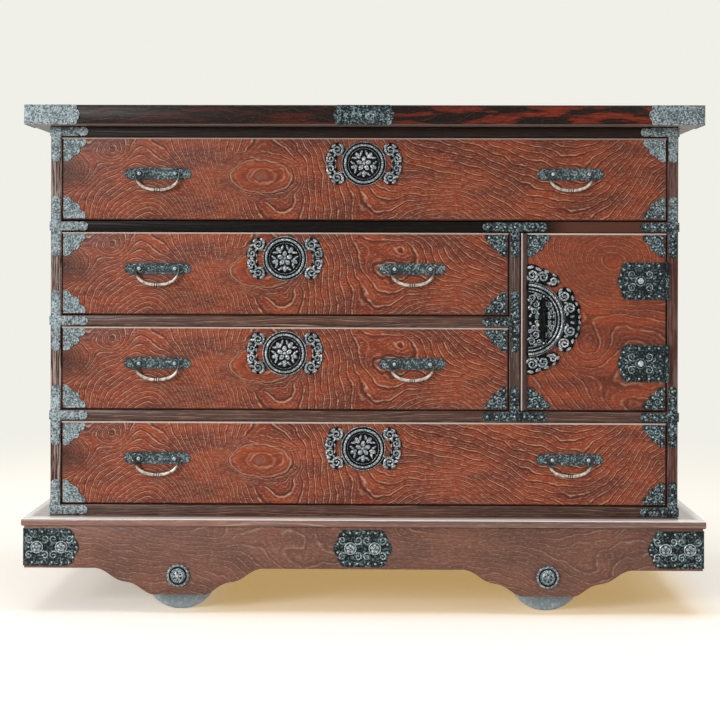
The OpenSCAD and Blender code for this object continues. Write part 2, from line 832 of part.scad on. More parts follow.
// Stations along the bail: the middle of the bend across and up, its radius, and the angle
shoulder_steps = 8;
belly_steps = 6;
bail_stations = concat(
  [[shoulder_x, bail_leg_r, bail_shoulder_r, 0]],
  [for (i = [0 : shoulder_steps]) [shoulder_x, 0, bail_shoulder_r, -belly_turn * i / shoulder_steps]],
  [for (i = [1 : belly_steps - 1])
    [0, belly_r - bail_drop, belly_r, -belly_turn - (180 - 2 * belly_turn) * i / belly_steps]],
  [for (i = [0 : shoulder_steps])
    [-shoulder_x, 0, bail_shoulder_r, belly_turn - 180 - belly_turn * i / shoulder_steps]],
  [[-shoulder_x, bail_leg_r, bail_shoulder_r, -180]]
);

// One ring of points round the bar at a station, where the bar thickens towards its middle
bar_sides = 12;
function bar_ring(s) =
  let (r = bail_leg_r - (bail_bar_r - bail_leg_r) * sin(s[3]))
  [for (k = [0 : bar_sides - 1])
    let (turn = 360 * k / bar_sides, out = s[2] + r * cos(turn))
    [s[0] + out * cos(s[3]), r * sin(turn), s[1] + out * sin(s[3])]];

module bail_bar() {
  last = len(bail_stations) - 1;
  points = [for (s = bail_stations) each bar_ring(s)];
  walls = [for (j = [0 : last - 1], k = [0 : bar_sides - 1])
    let (a = j * bar_sides + k, b = j * bar_sides + (k + 1) % bar_sides)
    each [[a, b, b + bar_sides], [a, b + bar_sides, a + bar_sides]]];
  caps = [[for (k = [bar_sides - 1 : -1 : 0]) k], [for (k = [0 : bar_sides - 1]) last * bar_sides + k]];
  polyhedron(points, concat(walls, caps));
}

// A bail hanging from its pins, which point inward through the posts
module bail(n, side) {
  pin_l = bail_x - post_x + post_ball_r;
  color(dark_iron) translate([handle_x(n, side), pivot_y, handle_z(n)]) {
    bail_bar();
    for (end = [-1, 1])
      translate([end * bail_x, 0, 0]) rotate([0, -end * 90, 0]) cylinder(h = pin_l, r = bail_pin_r);
  }
}

// ---- Door ----

door_edge_x = door_x0 + door_gap;
hinge_x = inner_w - door_gap / 2;
hinge_y = face_y - knuckle_r - knuckle_stand;
strip_x1 = door_edge_x + strip_w;
hinge_levels = [door_z0 + hinge_inset, door_z1 - hinge_inset];

module door_panel() {
  color(red_wood)
    faced_panel(door_edge_x, inner_w - door_gap, door_z0 + reveal, door_z1 - reveal,
      face_y, door_t, front_chamfer, door_back_bevel);
}

module door_edge_strip() {
  color(dark_wood)
    faced_panel(door_edge_x, strip_x1, door_z0 + reveal, door_z1 - reveal,
      face_y - strip_proud, strip_proud, strip_bevel);
}

module door_corner_plates() {
  inset = reveal + front_chamfer;
  color(iron)
    corner_plates(strip_x1, inner_w - door_gap - front_chamfer, door_z0 + inset, door_z1 - inset);
}

// Half a ringed plate against the strip, with leaf scrolls round it and an upright bar pull
module door_lock_plate() {
  // Across, up and radius of the lobes round the half ring, in radii of the ring
  leaves = door_ring_r * [
    [0.1, 1.225, 0.325], [0.425, 1.175, 0.25], [0.7, 1.09, 0.19], [1.05, 0.65, 0.25], [1.2, 0.3, 0.275],
    [1.25, 0, 0.25]
  ];
  half = door_z1 - door_z0;
  color(dark_iron) translate([strip_x1, face_y, door_mid_z + door_lock_rise]) rotate([90, 0, 0]) {
    intersection() {
      union() {
        linear_extrude(lock_t) {
          circle(door_ring_r + door_ring_rim);
          for (leaf = leaves, up = [-1, 1]) translate([leaf[0], up * leaf[1]]) circle(leaf[2]);
        }
        ring(door_ring_r, door_ring_w, door_ring_h);
      }
      translate([0, -half, -half]) cube(2 * half);
    }
    for (up = [-1, 1]) translate([pull_x, up * pull_reach, lock_t / 2]) {
      cylinder(h = pull_stand, r = pull_stud_r);
      dome(pull_stud_r, pull_head_h, pull_stand);
    }
    translate([pull_x, 0, pull_stand]) rotate([90, 0, 0]) cylinder(h = 2 * pull_reach, r = pull_r, center = true);
  }
}

// Bore for a hinge pin, along the knuckles
module pin_bore(z) {
  translate([hinge_x, hinge_y, z - hinge_h]) cylinder(h = 2 * hinge_h, r = hinge_pin_r + hinge_fit);
}

// Height of one of the three knuckles of a hinge, with the gaps between them
knuckle_h = (hinge_h - 2 * knuckle_gap) / 3;

module knuckle(z) {
  translate([hinge_x, hinge_y, z]) cylinder(h = knuckle_h, r = knuckle_r);
}

// A door leaf: a plate on the door, running into the upper and lower knuckles
module door_leaf(z) {
  clear = knuckle_r + knuckle_gap;
  middle_h = knuckle_h + 2 * knuckle_gap;
  difference() {
    union() {
      on_front(face_y, plate_t) translate([hinge_x, z]) mirror([1, 0])
        lobed_plate(hinge_leaf_l, hinge_h, hinge_round, hinge_lobe_r, hinge_lobe_reach);
      knuckle(z - hinge_h / 2);
      knuckle(z + hinge_h / 2 - knuckle_h);
    }
    block([hinge_x - clear, hinge_y - clear, z - middle_h / 2], [hinge_x + clear, hinge_y + clear, z + middle_h / 2]);
    pin_bore(z);
  }
  translate([hinge_x - hinge_stud_x, face_y - plate_t, z]) rotate([90, 0, 0]) {
    cylinder(h = hinge_stud_h / 2, r = hinge_stud_r);
    dome(hinge_stud_r, hinge_stud_h / 2, hinge_stud_h / 2);
  }
}

module door_hinge_leaves() {
  color(iron) for (z = hinge_levels) door_leaf(z);
}

// A post leaf: let into the post, and running out of the front into the middle knuckle
module hinge_post_leaves() {
  color(iron) for (z = hinge_levels) difference() {
    union() {
      block([inner_w, front_y, z - hinge_h / 2], [inner_w + plate_t, front_y + post_leaf_l, z + hinge_h / 2]);
      block([inner_w, hinge_y, z - knuckle_h / 2], [inner_w + plate_t, front_y, z + knuckle_h / 2]);
      knuckle(z - knuckle_h / 2);
    }
    pin_bore(z);
  }
}

module hinge_pins() {
  color(dark_iron) for (z = hinge_levels)
    translate([hinge_x, hinge_y, z - hinge_h / 2]) cylinder(h = hinge_h, r = hinge_pin_r);
}

top_board();
side_left();
side_right();
upper_rail();
divider_upper();
divider_middle();
divider_lower();
bottom_board();
partition();
back_panel();
door_stop_strip();
frame_plates();
top_plates();
hinge_post_leaves();
hinge_pins();
deck();
skirt_front();
skirt_back();
skirt_ends();
axles();
axle_rosettes();
base_plates();
base_studs();
wheel_front_left();
wheel_front_right();
wheel_back_left();
wheel_back_right();
door_panel();
door_edge_strip();
door_corner_plates();
door_lock_plate();
door_hinge_leaves();
drawer_front(1);  // drawer_1_front
drawer_box(1);  // drawer_1_box
drawer_corner_plates(1);  // drawer_1_corner_plates
drawer_lock_plate(1);  // drawer_1_lock_plate
drawer_handle_plates(1);  // drawer_1_handle_plates
bail(1, -1);  // drawer_1_bail_left
bail(1, 1);  // drawer_1_bail_right
drawer_front(2);  // drawer_2_front
drawer_box(2);  // drawer_2_box
drawer_corner_plates(2);  // drawer_2_corner_plates
drawer_lock_plate(2);  // drawer_2_lock_plate
drawer_handle_plates(2);  // drawer_2_handle_plates
bail(2, -1);  // drawer_2_bail_left
bail(2, 1);  // drawer_2_bail_right
drawer_front(3);  // drawer_3_front
drawer_box(3);  // drawer_3_box
drawer_corner_plates(3);  // drawer_3_corner_plates
drawer_lock_plate(3);  // drawer_3_lock_plate
drawer_handle_plates(3);  // drawer_3_handle_plates
bail(3, -1);  // drawer_3_bail_left
bail(3, 1);  // drawer_3_bail_right
drawer_front(4);  // drawer_4_front
drawer_box(4);  // drawer_4_box
drawer_corner_plates(4);  // drawer_4_corner_plates
drawer_lock_plate(4);  // drawer_4_lock_plate
drawer_handle_plates(4);  // drawer_4_handle_plates
bail(4, -1);  // drawer_4_bail_left
bail(4, 1);  // drawer_4_bail_right
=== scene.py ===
import json
import math

import bmesh
import bpy
from mathutils import Matrix, Vector

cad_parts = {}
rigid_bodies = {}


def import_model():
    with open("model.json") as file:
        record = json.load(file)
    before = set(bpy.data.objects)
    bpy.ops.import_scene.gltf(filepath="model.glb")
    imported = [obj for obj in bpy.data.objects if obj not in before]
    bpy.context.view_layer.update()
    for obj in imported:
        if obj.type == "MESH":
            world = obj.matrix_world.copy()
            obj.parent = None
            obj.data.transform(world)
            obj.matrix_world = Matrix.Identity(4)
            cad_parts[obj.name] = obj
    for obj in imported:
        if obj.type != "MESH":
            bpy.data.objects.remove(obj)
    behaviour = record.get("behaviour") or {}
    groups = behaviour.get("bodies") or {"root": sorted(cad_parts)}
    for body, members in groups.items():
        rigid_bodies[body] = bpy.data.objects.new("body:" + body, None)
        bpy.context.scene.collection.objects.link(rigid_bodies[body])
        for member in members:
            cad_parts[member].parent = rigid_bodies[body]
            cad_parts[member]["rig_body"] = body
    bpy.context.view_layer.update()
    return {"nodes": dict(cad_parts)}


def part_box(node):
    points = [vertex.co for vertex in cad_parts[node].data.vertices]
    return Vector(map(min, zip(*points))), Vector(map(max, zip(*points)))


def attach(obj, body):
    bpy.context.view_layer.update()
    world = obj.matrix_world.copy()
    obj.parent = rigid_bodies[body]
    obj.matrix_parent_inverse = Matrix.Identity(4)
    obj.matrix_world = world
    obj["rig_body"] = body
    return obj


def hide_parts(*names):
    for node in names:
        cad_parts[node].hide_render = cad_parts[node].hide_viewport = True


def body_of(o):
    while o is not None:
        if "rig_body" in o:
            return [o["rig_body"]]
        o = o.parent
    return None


# A low wheeled chest: a lacquered case with four drawers and a side door, dressed in iron,
# on a scalloped base with four disc wheels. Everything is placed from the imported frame.
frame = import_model()


# ---- Deck and skirts ----
# The deck is a thin board that carries the case; the skirt boards under it are cut into two
# scalloped feet each. Red-brown lacquered zelkova, with the grain running along the boards.

mm = 0.001


class Finish:
    """One material, built node by node. Each call adds a node and gives the socket that it ends in."""

    def __init__(self, name):
        self.material = bpy.data.materials.new(name)
        self.material.use_nodes = True
        tree = self.material.node_tree
        self.nodes = tree.nodes
        self.links = tree.links
        self.shader = tree.nodes["Principled BSDF"]
        self.place = self.scaled(self.step("TexCoord", "Object"), 1 / mm)

    def step(self, kind, output, inputs=(), **settings):
        made = self.nodes.new("ShaderNode" + kind)
        for key, value in settings.items():
            setattr(made, key, value)
        for key, value in dict(inputs).items():
            self.feed(made.inputs[key], value)
        return made.outputs[output]

    def feed(self, socket, value):
        if isinstance(value, bpy.types.NodeSocket):
            self.links.new(value, socket)
        else:
            socket.default_value = value

    def maths(self, operation, *values):
        return self.step("Math", 0, enumerate(values), operation=operation)

    def total(self, *values):
        result = values[0]
        for value in values[1:]:
            result = self.maths("ADD", result, value)
        return result

    def times(self, first, second):
        return self.maths("MULTIPLY", first, second)

    def dot(self, first, second):
        return self.step("VectorMath", "Value", {0: first, 1: second}, operation="DOT_PRODUCT")

    def scaled(self, place, factor):
        return self.step("VectorMath", 0, {0: place, "Scale": factor}, operation="SCALE")

    def ways(self):
        """How far across, back and up each spot of the chest lies, in millimetres."""
        return [self.dot(self.place, way) for way in ((1, 0, 0), (0, 1, 0), (0, 0, 1))]

    def stretched(self, place, x, y, z=1.0):
        return self.step("VectorMath", 0, {0: place, 1: (x, y, z)}, operation="MULTIPLY")

    def moved(self, place, x, y):
        return self.step("VectorMath", 0, {0: place, 1: (x, y, 0)}, operation="ADD")

    def flat(self, along, across):
        """A board's face as a plane: how far along the grain, how far across it, and no depth."""
        return self.step("CombineXYZ", 0, {0: along, 1: across})

    def noise(self, place, size, detail=2.0, roughness=0.5):
        """Cloudy noise whose patches are about size millimetres across."""
        return self.step("TexNoise", 0, {
            "Vector": place, "Scale": 1 / size, "Detail": detail, "Roughness": roughness})

    def span(self, value, low, high, start=0.0, end=1.0):
        """From start to end, smoothly, while the value goes from low to high."""
        limits = {0: value, 1: low, 2: high, 3: start, 4: end}
        return self.step("MapRange", 0, limits, interpolation_type="SMOOTHSTEP")

    def ramp(self, value, *stops):
        """A colour ramp through (position, colour) stops."""
        made = self.nodes.new("ShaderNodeValToRGB")
        self.feed(made.inputs[0], value)
        elements = made.color_ramp.elements
        while len(elements) < len(stops):
            elements.new(0.5)
        for element, (position, colour) in zip(elements, stops):
            element.position = position
            element.color = colour
        return made.outputs[0]

    def peak(self, value, low, middle, high):
        """White where the value is at the middle, black from low down and from high up."""
        return self.ramp(value, (low, (0, 0, 0, 1)), (middle, (1, 1, 1, 1)), (high, (0, 0, 0, 1)))

    def mix(self, factor, first, second):
        made = self.nodes.new("ShaderNodeMix")
        made.data_type = "RGBA"
        for key, value in (("Factor_Float", factor), ("A_Color", first), ("B_Color", second)):
            self.feed(next(s for s in made.inputs if s.identifier == key), value)
        return next(s for s in made.outputs if s.identifier == "Result_Color")

    def bumped(self, height, distance):
        """The normal of a surface raised by height times distance in millimetres."""
        return self.step("Bump", 0, {"Height": height, "Distance": distance * mm})

    def dress(self, **values):
        """Feeds the shader's own sockets; an underscore in a key stands for a space."""
        for key, value in values.items():
            self.feed(self.shader.inputs[key.replace("_", " ")], value)
        return self.material

    def oval(self, flat, along, across, long, high, tilt=0.0):
        """The place as seen from the middle of an oval, whose rim is one away in every direction."""
        return self.step("Mapping", 0, {
            "Vector": flat, "Location": (along, across, 0),
            "Rotation": (0, 0, math.radians(tilt)), "Scale": (long, high, 1),
        }, vector_type="TEXTURE")

    def swell(self, flat, along, across, long, high, tilt, lines):
        """A hill of growth lines at a spot of the board: its two radii, its tilt and its count of lines."""
        away = self.oval(flat, along, across, long, high, tilt)
        return self.times(self.maths("EXPONENT", self.times(self.dot(away, away), -1.0)), lines)

    def swells(self, flat, *hills):
        return [self.swell(flat, *hill) for hill in hills]

    def overlaid(self, share, colour):
        """Lays a colour over the finish, where its share says so."""
        socket = self.shader.inputs["Base Color"]
        self.feed(socket, self.mix(share, socket.links[0].from_socket, paint(*colour)))
        return self.material

    def lacquered(self, flat, field, dull, warm, line, shade, bold=0.8, sway=2.4, coat=0.1, gloss=0.25):
        """Lacquered wood whose growth lines run where the field passes a whole number."""
        lines = self.total(field, *(
            self.times(self.noise(flat, size, 1), share * sway)
            for size, share in ((38, 1), (9, 0.16), (2.4, 0.04))))
        phase = self.maths("FRACT", lines)
        broken = self.span(self.noise(self.stretched(flat, 0.5, 1), 5), 0.38, 0.6, 0.15, 1)
        pale = self.times(self.peak(phase, 0.38, 0.5, 0.58), broken)
        dark = self.peak(phase, 0.54, 0.64, 0.84)
        fine = self.maths("FRACT", self.times(lines, 3.0))
        hairs = self.times(self.peak(fine, 0.3, 0.5, 0.64), broken)
        fibre = self.noise(self.stretched(flat, 0.05, 1), 1.5, 2, 0.65)
        ground = self.mix(self.span(self.noise(self.stretched(flat, 0.35, 1), 26), 0.36, 0.64), dull, warm)
        ground = self.mix(self.span(fibre, 0.42, 0.8, 0, 0.6), ground, shade)
        pores = self.noise(self.stretched(flat, 0.4, 1), 1.5, 2, 0.7)
        ground = self.mix(self.span(pores, 0.5, 0.72, 0, 0.65), ground, shade)
        ground = self.mix(self.span(pores, 0.46, 0.3, 0, 0.45), ground, line)
        colour = self.mix(self.times(hairs, 0.45 * bold), ground, line)
        colour = self.mix(self.times(dark, 0.9 * bold), colour, shade)
        colour = self.mix(self.times(pale, bold), colour, line)
        return self.dress(
            Base_Color=colour,
            Roughness=self.span(fibre, 0.2, 0.8, 0.3, 0.46),
            Normal=self.bumped(self.total(self.times(dark, -1.0), self.times(fibre, 0.5)), 0.14),
            Specular_IOR_Level=gloss,
            Coat_Weight=coat,
            Coat_Roughness=0.18,
        )


def paint(red, green, blue):
    """A linear colour from the 0 to 255 values of a swatch."""
    def linear(value):
        share = value / 255
        return share / 12.92 if share <= 0.04045 else ((share + 0.055) / 1.055) ** 2.4
    return (linear(red), linear(green), linear(blue), 1.0)


def straight_grain(name, grain, breadth, pitch, colours, seed, painted_light=None, bold=0.7, **looks):
    """A lacquered board with lines along the grain, one a pitch of millimetres across its breadth.
    Painted light is two places on x, between which a paler colour is painted over the board as painted
    light, the share and the colour."""
    wood = Finish(name)
    along = wood.dot(wood.place, grain)
    across = wood.dot(wood.place, breadth)
    flat = wood.moved(wood.flat(along, across), 7 * seed, 3 * seed)
    slow = wood.noise(wood.stretched(flat, 0.12, 1), 40)
    field = wood.total(wood.times(across, 1 / pitch), wood.times(slow, 26 / pitch))
    long_flat = wood.stretched(flat, 0.18, 1)
    wood.lacquered(long_flat, field, *colours, bold=bold, **looks)
    # Between the two places a paler colour is painted on: painted light.
    if painted_light:
        start, end, share, colour = painted_light
        wood.overlaid(wood.span(wood.ways()[0], start, end, 0, share), colour)
    return wood.material


def settle(name, skin, material, slot, body, *stands_for):
    """Makes a finished piece of a bmesh, riding on a body, in place of the nodes named last."""
    mesh = bpy.data.meshes.new(name)
    skin.to_mesh(mesh)
    skin.free()
    mesh.materials.append(material)
    mesh.shade_smooth()
    mesh.set_sharp_from_angle(angle=math.radians(30))
    made = bpy.data.objects.new(name, mesh)
    bpy.context.scene.collection.objects.link(made)
    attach(made, body)
    if stands_for:
        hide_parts(*stands_for)
    return made


def copied(node):
    """A CAD node's shape as one closed skin with flat faces."""
    skin = bmesh.new()
    skin.from_mesh(frame["nodes"][node].data)
    bmesh.ops.remove_doubles(skin, verts=skin.verts, dist=0.002 * mm)
    bmesh.ops.dissolve_limit(skin, angle_limit=math.radians(0.5), verts=skin.verts, edges=skin.edges)
    return skin


def ease_edges(skin, width):
    """Rounds over every sharp edge."""
    corners = [e for e in skin.edges if e.is_manifold and e.calc_face_angle() > math.radians(28)]
    bmesh.ops.bevel(
        skin, geom=corners, offset=width, offset_type="OFFSET", segments=2, profile=0.5,
        affect="EDGES", material=-1, clamp_overlap=True,
    )


def body_under(node):
    return body_of(frame["nodes"][node])[0]


def board(node, material, slot, ease=0.6 * mm):
    """A board of the chest with its edges rounded over, in place of its CAD node."""
    skin = copied(node)
    ease_edges(skin, ease)
    return settle(node + "_finished", skin, material, slot, body_under(node), node)


skirt_colours = (paint(112, 72, 60), paint(136, 88, 72), paint(180, 152, 134), paint(88, 58, 49))
deck = Finish("deck_lacquer")
x, y, z = deck.ways()
deck_across = deck.total(y, deck.times(z, -1.0))
deck_flat = deck.stretched(deck.flat(x, deck_across), 0.18, 1)
deck_field = deck.total(
    deck.times(deck_across, 1 / 9),
    deck.times(deck.noise(deck.stretched(deck_flat, 0.7, 1), 40), 3))
deck.lacquered(
    deck_flat, deck_field, paint(112, 66, 52), paint(140, 82, 60), paint(184, 152, 134), paint(70, 42, 35),
    bold=0.7, coat=1.0, gloss=0.5)
# The deck's top is painted pale along its front and end arrises, and faintly over the rest of it: a painted
# highlight.
deck_height = 104.5
pale_from_x, pale_from_y = 366, 197
deck_top = deck.span(z, deck_height - 1.2, deck_height - 0.5)
near_arris = deck.maths(
    "MAXIMUM",
    deck.span(deck.maths("ABSOLUTE", x), pale_from_x, pale_from_x + 8),
    deck.span(deck.maths("ABSOLUTE", y), pale_from_y, pale_from_y + 6))
painted_light_share = deck.times(deck_top, deck.total(0.08, deck.times(near_arris, 0.92)))
deck_lacquer = deck.overlaid(painted_light_share, (255, 252, 247))
skirt_side_lacquer = straight_grain(
    "skirt_side_lacquer", (1, 1, 0), (0, 0, 1), 8, skirt_colours, seed=47)

skirt = Finish("skirt_lacquer")
x, y, z = skirt.ways()
skirt_flat = skirt.flat(x, z)
skirt_field = skirt.total(
    skirt.times(z, 0.11),
    skirt.times(x, 0.012),
    *skirt.swells(
        skirt_flat, (-215, 96, 90, 26, -12, 5), (-70, 40, 80, 34, 14, 5), (110, 98, 120, 30, 8, 6),
        (250, 40, 70, 38, -20, 5)),
)
skirt_lacquer = skirt.lacquered(skirt_flat, skirt_field, *skirt_colours, bold=0.5)

board("deck", deck_lacquer, "deck_wood", 0.4 * mm)
board("skirt_front", skirt_lacquer, "skirt_wood")
board("skirt_back", skirt_lacquer, "skirt_wood")
board("skirt_ends", skirt_side_lacquer, "skirt_wood")


# ---- Wheels and axles ----
# Four iron disc wheels turn on two forged axles that run from the front skirt to the back one.
# A scalloped iron rosette is nailed over each axle's end.

def forged(name, dark, light, grain, roughness, metallic, bump, chased=0.0, gloss=0.3, painted_light=0.0):
    """Blackened iron, hammered and punched to a speckle, with chased scroll lines if wanted.
    Painted light is how far its high spots are painted paler at the chest's left end and top right corner,
    as a painted highlight."""
    iron = Finish(name)
    dark, light = paint(*dark), paint(*light)
    clouds = iron.noise(iron.place, 7 * grain)
    speckle = iron.noise(iron.place, grain, 2, 0.7)
    rings = iron.maths("PINGPONG", iron.times(iron.noise(iron.place, 3.4 * grain, 1), 14.0), 1.0)
    height = iron.total(speckle, iron.times(rings, chased), iron.times(clouds, 0.25))
    middle = 0.5 + 0.5 * chased + 0.125
    colour = iron.ramp(
        iron.span(height, middle - 0.16 - 0.3 * chased, middle + 0.2 + 0.3 * chased),
        (0.18, dark), (0.6, part_way(dark, light, 0.13)), (0.95, light))
    # The high spots at the chest's left end and top right corner are painted paler: a painted highlight.
    if painted_light:
        x, y, z = iron.ways()
        left_end = iron.span(x, -150, -320, 0, painted_light)
        right_top = iron.span(iron.total(x, z), 755, 835, 0, painted_light)
        high_spots = iron.span(height, middle - 0.14, middle + 0.1, 0.25, 1.0)
        painted_light_share = iron.times(iron.maths("MAXIMUM", left_end, right_top), high_spots)
        colour = iron.mix(painted_light_share, colour, paint(206, 222, 228))
    return iron.dress(
        Base_Color=colour,
        Metallic=metallic,
        Roughness=iron.span(speckle, 0.3, 0.7, roughness - 0.1, roughness + 0.1),
        Specular_IOR_Level=gloss,
        Normal=iron.bumped(height, bump),
    )


def part_way(dark, light, share):
    return tuple(low + (high - low) * share for low, high in zip(dark, light))


def round_from(u, v, reach, turn):
    """The spot that lies reach from u, v, turn degrees round from the across line."""
    angle = math.radians(turn)
    return u + reach * math.cos(angle), v + reach * math.sin(angle)


class Chasing:
    """Raised work on iron, drawn in millimetres on a plate that faces the front or a side."""

    def __init__(self, across, up, surface, side=0):
        self.across, self.up, self.surface, self.side = across, up, surface, side
        self.strokes = []
        self.skin = bmesh.new()

    def spot(self, u, v, rise):
        """A place on the plate: across and up from its middle, and how far it stands out."""
        if self.side:
            return Vector((self.surface + self.side * rise, self.across + u, self.up + v)) * mm
        return Vector((self.across + u, self.surface - rise, self.up + v)) * mm

    def stroke(self, spots, widths, rise, closed=False):
        self.strokes.append((closed, [(self.spot(u, v, rise), w) for (u, v), w in zip(spots, widths)]))

    def arc(self, u, v, radius, start, end, width, rise):
        """Part of a ring, or the whole ring where it comes round."""
        closed = end - start >= 360
        steps = max(6, round(abs(end - start) * radius / 160))
        count = steps if closed else steps + 1
        spots = [round_from(u, v, radius, start + (end - start) * i / steps) for i in range(count)]
        self.stroke(spots, [width] * count, rise, closed)

    def curl(self, u, v, size, start, turns, width, side, rise):
        """A scroll that winds in to a round eye. Side -1 draws it the other way about."""
        steps = round(11 * abs(turns))
        spots, widths = [], []
        for i in range(steps + 1):
            share = i / steps
            across, up = round_from(0, 0, size * (1 - 0.86 * share), start + 360 * turns * share)
            spots.append((u + side * across, v + up))
            widths.append(width * (1 - 0.45 * share))
        widths[-1] = 1.25 * width
        widths[-2] = width
        self.stroke(spots, widths, rise)

    def bead(self, u, v, radius, height, rise=0.0, long=1.0, turn=0.0, fine=2):
        """A round head, or a leaf where it is longer than it is wide; turn is from the across line."""
        to_plate = Matrix.Rotation(math.radians(-turn), 4, "Y")
        if self.side:
            to_plate = Matrix.Rotation(math.radians(90), 4, "Z") @ to_plate
        size = Matrix.Diagonal((radius * long * mm, height * mm, radius * mm, 1))
        place = Matrix.Translation(self.spot(u, v, rise))
        bmesh.ops.create_icosphere(self.skin, subdivisions=fine, radius=1, matrix=place @ to_plate @ size)

    def leaf(self, u, v, length, width, height, turn, rise, side=1):
        """A leaf whose middle is at u, v."""
        self.bead(u, v, width / 2, height, rise, length / width, turn if side > 0 else 180 - turn)

    def blossom(self, u, v, radius, height, rise):
        """A small flower: five petals round a round head."""
        for turn in range(90, 450, 72):
            petal = round_from(u, v, 0.6 * radius, turn)
            self.bead(*petal, 0.38 * radius, height, rise, 1.3, turn, fine=1)
        self.bead(u, v, 0.34 * radius, 1.4 * height, rise)

    def finish(self, name, material, slot, body):
        """Makes the raised work a piece: the strokes as round wire, the heads as they are."""
        if self.strokes:
            wire = bpy.data.curves.new(name, "CURVE")
            wire.dimensions = "3D"
            wire.bevel_depth = mm
            wire.bevel_resolution = 1
            wire.use_fill_caps = True
            for closed, points in self.strokes:
                line = wire.splines.new("POLY")
                line.points.add(len(points) - 1)
                line.use_cyclic_u = closed
                for point, (place, width) in zip(line.points, points):
                    point.co = (*place, 1)
                    point.radius = width
            shaped = bpy.data.objects.new(name + "_wire", wire)
            bpy.context.scene.collection.objects.link(shaped)
            self.skin.from_mesh(bpy.data.meshes.new_from_object(shaped.evaluated_get(
                bpy.context.evaluated_depsgraph_get())))
            bpy.data.objects.remove(shaped)
        bmesh.ops.recalc_face_normals(self.skin, faces=self.skin.faces)
        return settle(name, self.skin, material, slot, body)


wheel_iron = forged(
    "wheel_iron", (154, 168, 176), (192, 204, 213), grain=3.0, roughness=0.55, metallic=0.1, bump=0.1)
dark_iron = forged(
    "dark_iron", (2, 2, 3), (44, 50, 53), grain=2.6, roughness=0.5, metallic=0.0, bump=0.3, gloss=0.08)
# The raised work is near-white iron against the near-black plates it stands on: a painted highlight.
raised_iron = forged(
    "raised_iron", (112, 124, 130), (255, 255, 255), grain=1.4, roughness=0.28, metallic=0.3, bump=0.12)
stud_iron = forged(
    "stud_iron", (96, 110, 116), (206, 216, 218), grain=2.2, roughness=0.34, metallic=0.4, bump=0.12)
chased_iron = forged(
    "chased_iron", (96, 114, 120), (214, 230, 234), grain=1.4, roughness=0.36, metallic=0.3, bump=0.12)
for row in ("front", "back"):
    for side in ("left", "right"):
        board(f"wheel_{row}_{side}", wheel_iron, "wheel", 0.4 * mm)
board("axles", dark_iron, "dark_iron", 0.3 * mm)
board("axle_rosettes", stud_iron, "dark_iron", 0.2 * mm)

axle_x = 204
wheel_middle = 42
skirt_face = -211
rim_rise, dome_rise, top_rise = 3.0, 5.6, 6.7
for number, across in enumerate((-axle_x, axle_x)):
    groove = Chasing(across, wheel_middle, skirt_face)
    groove.arc(0, 0, 9.3, 0, 360, 0.9, rim_rise)
    cap = Chasing(across, wheel_middle, skirt_face)
    cap.arc(0, 0, 6.2, 0, 360, 0.5, dome_rise)
    for petal in range(16):
        cap.bead(*round_from(0, 0, 11.1, 360 * petal / 16), 1.3, 0.8, rim_rise, fine=1)
    for turn in range(30, 390, 60):
        groove.bead(*round_from(0, 0, 3.6, turn), 1.1, 0.5, top_rise, 1.4, turn, fine=1)
    cap.bead(0, 0, 1.6, 0.6, top_rise + 0.15)
    cap.finish(f"rosette_chasing_{number + 1}", raised_iron, "dark_iron", "case")
    groove.finish(f"rosette_grooves_{number + 1}", dark_iron, "dark_iron", "case")


# ---- Iron on the base ----
# Hammered iron plates wrap the front corners of the skirt and one sits in its middle, nailed on
# round their borders. Each carries two studs cast as five-petalled blossoms.

# Its high spots carry a painted highlight at the chest's left end and top right corner.
plate_iron = forged(
    "plate_iron", (16, 25, 28), (140, 160, 166), grain=2.2, roughness=0.44, metallic=0.2, bump=0.35,
    chased=0.2, gloss=0.2, painted_light=0.5)
base_iron = forged(
    "base_iron", (10, 16, 18), (112, 134, 138), grain=2.4, roughness=0.46, metallic=0.2, bump=0.3,
    chased=0.1, gloss=0.2)
nail_iron = forged(
    "nail_iron", (150, 164, 166), (222, 230, 230), grain=1.6, roughness=0.34, metallic=0.4, bump=0.08)


def plate(node, material, rim=0.9):
    """An iron plate with a raised border round its sunken ground, in place of its CAD node."""
    sunk = 0.3 * mm
    least_breadth = 1.6 * mm
    skin = copied(node)
    grounds = []
    for face in skin.faces:
        middle_x = face.calc_center_median().x
        faces_side = face.normal.x * middle_x > 0.9 * abs(middle_x)
        broad = face.calc_area() > least_breadth * face.calc_perimeter()
        if (face.normal.y < -0.99 or faces_side) and broad:
            grounds.append(face)
    bmesh.ops.inset_region(
        skin, faces=grounds, thickness=rim * mm, depth=-sunk, use_even_offset=False, use_boundary=True)
    ease_edges(skin, 0.2 * mm)
    return settle(node + "_finished", skin, material, "iron", body_under(node), node)


plate("base_plates", base_iron, rim=1.3)
board("base_studs", stud_iron, "dark_iron", 0.2 * mm)

plate_thick = 1.2
skirt_end = 375
base_middle = 72.75
base_plate_face = skirt_face - plate_thick
stud_spots = (-360.5, -333.5, -13.5, 13.5, 333.5, 360.5)


def nail_row(work, spots, radius=1.3, height=1.1):
    for u, v in spots:
        work.bead(u, v, radius, height, -0.3)


def both_halves(spots):
    """Each spot of a plate's upper half, and its fellow in the lower half."""
    return [(u, way * v) for u, v in spots for way in (1, -1)]


base_nails = Chasing(0, base_middle, base_plate_face)
corner_border = [(370, 8), (320.8, 11.5), (318.2, 5.5)] + [(u, 17) for u in (366, 355, 344, 333, 325)]
middle_border = [(6, 17), (14, 17), (21, 15.5), (25, 10.5), (27.5, 4.5)]
for side in (-1, 1):
    border = both_halves(corner_border + middle_border) + [(370, 0), (316.9, 0)]
    nail_row(base_nails, [(side * u, v) for u, v in border])

